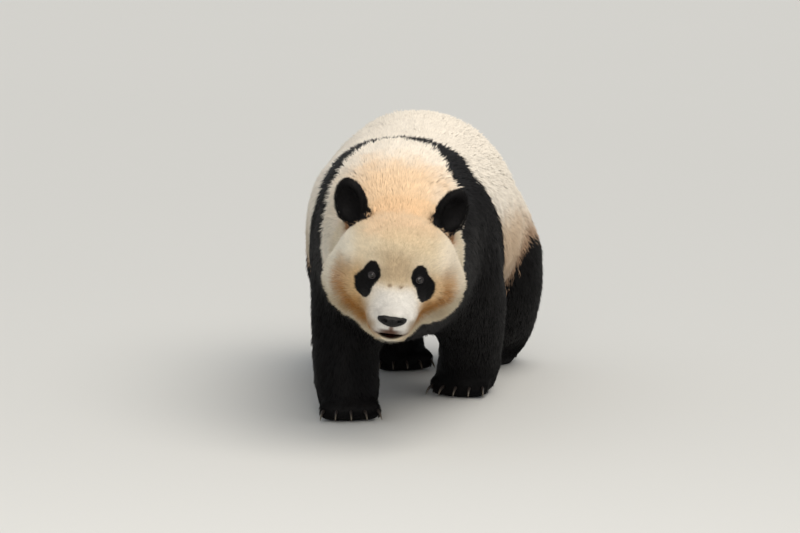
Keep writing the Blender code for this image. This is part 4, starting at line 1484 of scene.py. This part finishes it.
# %% Finish a piece, and what a tree is given
def finished(piece, material, slot, *replaced):
    """Gives a piece its material, hangs it on the root's empty, and hides the solids it replaces."""
    piece.data.materials.clear()
    piece.data.materials.append(material)
    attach(piece, "root")
    if replaced:
        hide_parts(*replaced)


def set_inputs(modifier, values):
    """Sets the modifier's inputs by their identifiers."""
    for item in modifier.node_group.interface.items_tree:
        if item.in_out == "INPUT" and item.name in values:
            modifier[item.identifier] = values[item.name]


print("nodes under the skin:", len(FLESH))

# %% Shade the coat softly
SOFTNESS = 0.78  # how far a lock's shading follows the body's own surface
HANGING = 0.35  # the same for hair that hangs from below the chin or the belly
HANGS = (-0.05, -0.60)  # how far down the body's surface looks there


def soften(mesh):
    """Turns the normals towards the body's, so that the locks shade as one soft coat."""
    body = read_rows(mesh.attributes["outward"].data, "vector", 3)
    share = SOFTNESS + (HANGING - SOFTNESS) * eased(body[:, 2:], *HANGS)
    normals = unit(normals_of(mesh) * (1 - share) + body * share)
    mesh.normals_split_custom_set_from_vertices(normals.tolist())


print("share of the body's own shading:", SOFTNESS)

# %% Grow the coat
LONG_HAIRED = ("trunk", "back", "flank", "shoulders", "neck", "tail")
KEPT = ("hair_colour", "black", "along", "hue", "OFBake")
BUILT_IN = ("position", "material_index", "custom_normal")
# sizes and radians, first for long-haired regions and then for the others
CLUMP, CLUMP_TURN, CLUMP_LIFT = (0.040, 0.020), (0.38, 0.26), (0.18, 0.18)
RAGGED = {"hind": 22 * MM, "long": 12 * MM, "short": 1 * MM}
FIRST_SEED = 20


def grow(name, seed):
    obj = region_object(name)
    long_haired = any(part in name for part in LONG_HAIRED)
    kind = "hind" if "hind" in name else "long" if long_haired else "short"
    clump, turn, lift = (pair[not long_haired] for pair in (CLUMP, CLUMP_TURN, CLUMP_LIFT))
    modifier = obj.modifiers.new("coat", "NODES")
    modifier.node_group = tree
    inputs = {
        "Lock": lock,
        "Fur": fur,
        "Crowd": float(measures["crowding"][face_corners[face_region == name]].max()),
        "Clump": clump,
        "Clump Turn": turn,
        "Clump Lift": lift,
        "Ragged": RAGGED[kind],
        "Seed": seed,
    }
    set_inputs(modifier, inputs)
    mesh = evaluated(obj)
    soften(mesh)
    for key in [a.name for a in mesh.attributes]:
        made = mesh.attributes[key]
        needed = key in KEPT + BUILT_IN or made.is_internal or made.domain == "EDGE"
        if not needed:
            mesh.attributes.remove(made)
    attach(obj, "root")
    print(name, len(mesh.polygons), "triangles")
    return obj


region_names = np.unique(face_region).tolist()
coat_pieces = [grow(name, FIRST_SEED + i) for i, name in enumerate(region_names)]
print("coat:", sum(len(piece.data.polygons) for piece in coat_pieces), "triangles")
bpy.data.objects.remove(lock)
finished(skin, skin_finish, "cream_fur", *FLESH)

# %% [markdown]
# ## Eyes
# A giant panda's eye is small and dark: a wet cornea over a dark brown iris with a
# black pupil. Each ball is a sphere whose poles lie along its look, so that rings
# can be coloured by their distance from the axis, and whose front bulges a little
# as a cornea does. The lids end in a bare dark rim, which is a thin tube on the
# ball along the slit's edge.

# %% Make the eyeballs
PUPIL, IRIS = 3.4 * MM, 7.2 * MM
CORNEA = 1.1 * MM  # how far it bulges from the ball
EYE_SEGMENTS, EYE_RINGS = 96, 64


def eyeball(side):
    bm = bmesh.new()
    bmesh.ops.create_uvsphere(bm, u_segments=EYE_SEGMENTS, v_segments=EYE_RINGS, radius=BALL)
    mesh = mesh_from(f"eyeball_{side}", bm)
    q = points_of(mesh)
    # how far a point lies from the axis; behind the ball's middle it counts as far off
    ring = np.hypot(q[:, 0], q[:, 1]) + np.where(q[:, 2] < 0, 1.0, 0.0)
    q *= 1 + (CORNEA / BALL * np.clip(1 - (ring / IRIS) ** 2, 0, 1) ** 1.5)[:, None]
    write_attribute(mesh, "ring", ring / MM)
    write_attribute(mesh, "spoke", np.arctan2(q[:, 1], q[:, 0]))
    set_points(mesh, q @ eye_axes(side) + ball_centre(side))
    mesh.shade_smooth()
    return shown(f"eyeball_{side}", mesh)


print("iris:", round(2 * IRIS / MM, 1), "mm across, pupil:", round(2 * PUPIL / MM, 1), "mm")

# %% Lay the lids' rims
RIM_POINTS = 72
RIM_RADIUS = 0.95 * MM
RIM_HEIGHT = 0.45  # of the tube's middle over the ball, as a share of the lid's thickness


def lid_rim(side):
    """A tube along the slit's edge, lying on the ball."""
    turn = np.linspace(0, 2 * math.pi, RIM_POINTS, endpoint=False)
    x, y = (
        size * np.sign(wave) * np.abs(wave) ** (2 / CORNER)
        for size, wave in zip(SLIT, (np.cos(turn), np.sin(turn)))
    )
    z = np.sqrt((BALL + RIM_HEIGHT * LID) ** 2 - x**2 - y**2)
    route = np.stack([x, y, z], 1) @ eye_axes(side) + ball_centre(side)
    curve = bpy.data.curves.new(f"lid_rim_{side}", "CURVE")
    curve.dimensions = "3D"
    curve.bevel_depth = RIM_RADIUS
    curve.bevel_resolution = 3
    spline = curve.splines.new("POLY")
    spline.points.add(len(route) - 1)
    for point, place in zip(spline.points, route):
        point.co = (*place, 1)
    spline.use_cyclic_u = True
    holder = shown("rim_route", curve)
    mesh = plain_mesh(holder)
    bpy.data.objects.remove(holder)
    mesh.shade_smooth()
    return shown(f"lid_rim_{side}", mesh)


print("rim:", RIM_POINTS, "places along the slit, tube", 2 * RIM_RADIUS / MM, "mm thick")

# %% The wet eye and the bare rim
RIM_GRAIN = 1 / 900  # m


def eye_material():
    """A clear wet cornea gives small sharp lights; the iris under it is nearly black."""
    settings = {"Roughness": 0.06, "IOR": 1.38, "Specular_IOR_Level": 0.5}
    settings |= {"Coat_Weight": 0.5, "Coat_Roughness": 0.02}
    material, tree, shader = new_material("wet cornea over a dark iris", **settings)
    ring, spoke = (
        add_node(tree, ATTRIBUTE, attribute_name=name).outputs["Fac"] for name in ("ring", "spoke")
    )
    # fibres run from the pupil outwards, so the noise is squeezed along them
    outwards = add_node(tree, RANGE, (ring, 0, 10, 0, 0.8)).outputs[0]
    fibres = add_node(tree, JOIN, (spoke, outwards)).outputs[0]
    fibres = add_node(tree, NOISE, {"Vector": fibres, "Scale": 9.0, "Detail": 2.0}).outputs[0]
    iris = {0: fibres, 6: linear("#0c0704"), 7: linear("#1f120a")}
    iris = add_node(tree, MIX, iris, **COLOURS).outputs[2]
    off_pupil = add_node(tree, RANGE, (ring, PUPIL / MM - 0.3, PUPIL / MM + 0.3, 0, 1)).outputs[0]
    off_iris = add_node(tree, RANGE, (ring, IRIS / MM - 1.0, IRIS / MM, 0, 1)).outputs[0]
    inner = add_node(tree, MIX, {0: off_pupil, 6: linear("#020202"), 7: iris}, **COLOURS).outputs[2]
    whole = add_node(tree, MIX, {0: off_iris, 6: inner, 7: linear("#0a0807")}, **COLOURS).outputs[2]
    tree.links.new(whole, shader["Base Color"])
    return material


def bare_skin_material():
    """Hairless dark skin, a little moist, so it has a soft gloss."""
    material, tree, shader = new_material("bare lid skin", Roughness=0.26)
    place = add_node(tree, "ShaderNodeTexCoord").outputs["Object"]
    grain = {"Vector": place, "Scale": 1 / RIM_GRAIN, "Detail": 2.0}
    grain = add_node(tree, NOISE, grain).outputs[0]
    colour = {0: grain, 6: linear("#1f1c1d"), 7: linear("#3b3638")}
    tree.links.new(add_node(tree, MIX, colour, **COLOURS).outputs[2], shader["Base Color"])
    return material


eye_finish, rim_finish = eye_material(), bare_skin_material()
for side in SIDES:
    ball, rim = eyeball(side), lid_rim(side)
    finished(ball, eye_finish, "eye", f"eye_{side}")
    finished(rim, rim_finish, "nose_leather")
    print(side, "eyeball:", len(ball.data.polygons), "faces, rim:", len(rim.data.polygons))

# %% [markdown]
# ## Nose
# The nose is a broad bare pad of pebbled leather, always moist: nearly flat along
# its top, round below, with two comma-shaped nostrils that open to the sides. A
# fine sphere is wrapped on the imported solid's hull, smoothed, and then dented.

# %% Wrap and dent the nose
NOSE_DETAIL = 6  # subdivisions of the sphere
CAST_FROM = 0.2  # the rays that find the hull start this far from its middle, m
NOSTRIL = (16.5, 1.0, 5.6, 3.9)  # across, up, half width and half height, mm
NOSTRIL_DEPTH = 6.0 * MM
SLIT_LENGTH = 13  # mm
WING = (18, 0.5, 8.5, 2.6)  # across, up, radius and breadth of the rim round a nostril, mm
WING_RISE = 0.8 * MM
GROOVE_DEPTH, GROOVE_BREADTH = 1.3 * MM, 1.1  # the second in mm
TOP_DIP, TOP_BREADTH = 1.4 * MM, 9  # the second in mm


def nose_mesh():
    hull_bm = merged(["nose"])
    hull = bmesh.ops.convex_hull(hull_bm, input=hull_bm.verts)
    spare = hull["geom_interior"] + hull["geom_unused"]
    spare = [item for item in spare if isinstance(item, bmesh.types.BMVert)]
    bmesh.ops.delete(hull_bm, geom=spare, context="VERTS")
    hull_tree = BVHTree.FromBMesh(hull_bm)
    bm = bmesh.new()
    bmesh.ops.create_icosphere(bm, subdivisions=NOSE_DETAIL, radius=1.0)
    for vert in bm.verts:
        ray = Vector(vert.co @ Matrix(HEAD_AXES.tolist()))
        vert.co = hull_tree.ray_cast(nose_point + ray * CAST_FROM, -ray)[0]
    mesh = mesh_from("nose_pad", bm)
    hull_bm.free()
    edges = edges_of(mesh)
    q = in_head(evened(points_of(mesh), edges, 10)) - nose_in_head
    across, up = np.abs(q[:, 0]) / MM, q[:, 2] / MM
    front = eased(q[:, 1], 2 * MM, -4 * MM)
    # the comma: a round hole, and a narrowing slit that curls out and down from it
    out = across - NOSTRIL[0]
    hole = 1 - np.hypot(out / NOSTRIL[2], (up - NOSTRIL[1]) / NOSTRIL[3])
    slit_level = NOSTRIL[1] + 1.5 - 0.10 * out - 0.028 * out**2
    slit = 1 - np.abs(up - slit_level) / np.maximum(2.6 - 0.14 * out, 0.5)
    slit = np.where((out > 0) & (out < SLIT_LENGTH), slit, -1)
    dent = np.maximum(eased(hole, 0.0, 0.55), 0.7 * eased(slit, 0.0, 0.8))
    dent = spread(dent * front, edges, 2)
    from_wing = np.hypot(across - WING[0], (up - WING[1]) * 1.3) - WING[2]
    wing = hump(from_wing, WING[3]) * (1 - dent)
    groove = hump(across, GROOVE_BREADTH) * (up < 4)
    q[:, 1] += (NOSTRIL_DEPTH * dent - WING_RISE * wing + GROOVE_DEPTH * groove) * front
    q[:, 2] -= TOP_DIP * hump(across, TOP_BREADTH) * eased(up, 4, 10)
    write_attribute(mesh, "hollow", dent)
    set_points(mesh, from_head(q + nose_in_head))
    mesh.shade_smooth()
    return mesh


nose = shown("nose_pad", nose_mesh())
print("nose:", len(nose.data.polygons), "triangles")

# %% Moist leather
PEBBLE = 1.3 * MM


def nose_material():
    """Moist leather: a soft broad gloss, broken up by pebbles about a millimetre across."""
    settings = {"Specular_IOR_Level": 0.22, "Coat_Weight": 0.05, "Coat_Roughness": 0.25}
    material, tree, shader = new_material("moist pebbled leather", **settings)
    place = add_node(tree, "ShaderNodeTexCoord").outputs["Object"]
    pebbles = add_node(tree, "ShaderNodeTexVoronoi", {"Vector": place, "Scale": 1 / PEBBLE}).outputs[0]
    cloud = add_node(tree, NOISE, {"Vector": place, "Scale": 120.0, "Detail": 2.0}).outputs[0]
    hollow = add_node(tree, ATTRIBUTE, attribute_name="hollow").outputs["Fac"]
    colour = {0: cloud, 6: linear("#060505"), 7: linear("#0f0d0c")}
    colour = add_node(tree, MIX, colour, **COLOURS).outputs[2]
    # the nostrils' hollows are painted near black: painted shade inside them
    colour = {0: hollow, 6: colour, 7: linear("#010101")}
    tree.links.new(add_node(tree, MIX, colour, **COLOURS).outputs[2], shader["Base Color"])
    roughness = add_node(tree, RANGE, (cloud, 0.3, 0.7, 0.42, 0.56)).outputs[0]
    tree.links.new(roughness, shader["Roughness"])
    bump = {"Height": pebbles, "Distance": 0.5 * MM, "Strength": 0.6}
    bump = add_node(tree, "ShaderNodeBump", bump, invert=True).outputs[0]
    tree.links.new(bump, shader["Normal"])
    return material


nose_finish = nose_material()
finished(nose, nose_finish, "nose_leather", "nose")
print("nose leather:", len(nose_finish.node_tree.nodes), "nodes")

# %% [markdown]
# ## Tongue and claws
# What shows of the tongue is a low rounded pad behind the lower lip. The claws are
# curved cones of dark horn, paler at their worn tips, with fine lines along them.
# Each is a copy of its solid, rounded with Subdivision Surface.

# %% Round the tongue and the claws
def rounded(name, node, levels):
    obj = shown(name, mesh_from(name, merged([node])))
    modifier = obj.modifiers.new("round", "SUBSURF")
    modifier.levels = modifier.render_levels = levels
    evaluated(obj).shade_smooth()
    return obj


print("the tongue's solid has", len(nodes["tongue"].data.polygons), "triangles")

# %% Horn
HORN_LINES = 1 / 700  # breadth of the lines along a claw, m


def claw_material():
    """Horn grows in layers, which show as fine lines; its tip is worn paler."""
    material, tree, shader = new_material("claw horn", Roughness=0.38)
    worn = add_node(tree, ATTRIBUTE, attribute_name="worn").outputs["Fac"]
    place = add_node(tree, "ShaderNodeTexCoord").outputs["Object"]
    lines = {"Vector": place, "Scale": (1.0, 0.12, 0.5)}
    lines = add_node(tree, "ShaderNodeMapping", lines).outputs[0]
    lines = {"Vector": lines, "Scale": 1 / HORN_LINES, "Detail": 2.0}
    lines = add_node(tree, NOISE, lines).outputs[0]
    horn = {0: lines, 6: linear("#1c1817"), 7: linear("#332c28")}
    horn = add_node(tree, MIX, horn, **COLOURS).outputs[2]
    to_tip = add_node(tree, RANGE, (worn, 0.55, 1.0, 0, 0.9)).outputs[0]
    horn = {0: to_tip, 6: horn, 7: linear("#5f5647")}
    tree.links.new(add_node(tree, MIX, horn, **COLOURS).outputs[2], shader["Base Color"])
    bump = {"Height": lines, "Distance": 0.15 * MM, "Strength": 0.5}
    tree.links.new(add_node(tree, "ShaderNodeBump", bump).outputs[0], shader["Normal"])
    return material


claw_finish = claw_material()
claw_nodes = sorted(name for name in nodes if name.startswith("claw_"))
for node in claw_nodes:
    claw = rounded(f"horn_{node}", node, 2)
    y = points_of(claw.data)[:, 1]
    write_attribute(claw.data, "worn", (y.max() - y) / np.ptp(y))
    finished(claw, claw_finish, "claw_horn", node)
print("claws:", len(claw_nodes), "of", len(claw.data.polygons), "faces")

# %% Tongue
BUD = 1.5 * MM


def tongue_material():
    """Wet flesh with small round buds, in the shade of the mouth."""
    material, tree, shader = new_material("moist tongue", Roughness=0.30)
    place = add_node(tree, "ShaderNodeTexCoord").outputs["Object"]
    buds = add_node(tree, "ShaderNodeTexVoronoi", {"Vector": place, "Scale": 1 / BUD}).outputs[0]
    colour = {0: buds, 6: linear("#33160f"), 7: linear("#4a241c")}
    tree.links.new(add_node(tree, MIX, colour, **COLOURS).outputs[2], shader["Base Color"])
    bump = {"Height": buds, "Distance": 0.3 * MM, "Strength": 0.5}
    tree.links.new(add_node(tree, "ShaderNodeBump", bump).outputs[0], shader["Normal"])
    return material


tongue = rounded("tongue_pad", "tongue", 2)
finished(tongue, tongue_material(), "tongue", "tongue")
print("tongue:", len(tongue.data.polygons), "faces")

# %% [markdown]
# ## Floor, light and camera
# The model stands on a plain pale floor in soft studio light. The main light comes
# from above on the animal's right, as broad as a cloudy patch of sky, so its shadows
# have no hard edge. A large soft lamp in front lights the face, and a pale room
# fills the rest. The camera looks slightly down at the head, from far in front.

# %% Floor and room
FLOOR_SIZE = 80.0

half = FLOOR_SIZE / 2
floor_mesh = bpy.data.meshes.new("floor")
floor_corners = [(-half, -half, 0), (half, -half, 0), (half, half, 0), (-half, half, 0)]
floor_mesh.from_pydata(floor_corners, [], [(0, 1, 2, 3)])
floor = shown("floor", floor_mesh)
# matt paint on board: an even pale grey with hardly any gloss
floor_material, floor_tree, floor_shader = new_material("matt painted floor", Roughness=0.85)
paint = add_node(floor_tree, NOISE, {"Scale": 6.0, "Detail": 4.0}).outputs[0]
paint = {0: paint, 6: linear("#c9cac8"), 7: linear("#d0d1cf")}
paint = add_node(floor_tree, MIX, paint, **COLOURS).outputs[2]
floor_tree.links.new(paint, floor_shader["Base Color"])
floor_mesh.materials.append(floor_material)
floor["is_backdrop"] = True

world = bpy.data.worlds.new("pale room")
world.use_nodes = True
world.node_tree.nodes.clear()
room = add_node(world.node_tree, "ShaderNodeBackground", (linear("#e8ebee"), 0.62)).outputs[0]
add_node(world.node_tree, "ShaderNodeOutputWorld", (room,))
bpy.context.scene.world = world
print("floor:", FLOOR_SIZE, "m wide")

# %% Lights
SKY_WIDTH, SKY_STRENGTH, SKY_COLOUR = math.radians(55), 2.1, "#fff6ea"
SKY_DIRECTION = (-0.62, 0.45, -1.3)
LAMP_SIZE, LAMP_WATTS, LAMP_COLOUR = 2.6, 58, "#fff8f0"
LAMP_PLACE, LAMP_AIM = Vector((0.2, -4.5, 2.3)), Vector((0, -0.5, 0.4))


def turned_to(direction):
    """The turn that makes a lamp or a camera look along a direction."""
    return Vector(direction).to_track_quat("-Z", "Y").to_euler()


sky = bpy.data.lights.new("key", "SUN")
sky.energy, sky.angle, sky.color = SKY_STRENGTH, SKY_WIDTH, linear(SKY_COLOUR)[:3]
shown("key", sky).rotation_euler = turned_to(SKY_DIRECTION)
lamp = bpy.data.lights.new("front", "AREA")
lamp.shape = "DISK"
lamp.size, lamp.energy, lamp.color = LAMP_SIZE, LAMP_WATTS, linear(LAMP_COLOUR)[:3]
lamp_holder = shown("front", lamp)
lamp_holder.location = LAMP_PLACE
lamp_holder.rotation_euler = turned_to(LAMP_AIM - LAMP_PLACE)
print("lamp:", round((LAMP_AIM - LAMP_PLACE).length, 1), "m from the face")

# %% Camera
AIM_IN_HEAD = (0.0106, 0.1267, -0.0038)  # from between the eyes, in the head's frame, m
AZIMUTH, ELEVATION = math.radians(5.5), math.radians(8.5)
DISTANCE, LENS, SENSOR = 8.5, 160.0, 36.0

aim = Vector(from_head(AIM_IN_HEAD))
level = math.cos(ELEVATION)
back = Vector((math.sin(AZIMUTH) * level, -math.cos(AZIMUTH) * level, math.sin(ELEVATION)))
camera = shown("camera", bpy.data.cameras.new("camera"))
camera.data.lens, camera.data.sensor_width = LENS, SENSOR
camera.location = aim + back * DISTANCE
camera.rotation_euler = turned_to(-back)
bpy.context.scene.camera = camera
bpy.context.scene.view_settings.view_transform = "Standard"
print("camera at", [round(v, 2) for v in camera.location], "aims at", [round(v, 3) for v in aim])

# %% The bounds of all that is shown
low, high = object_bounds()
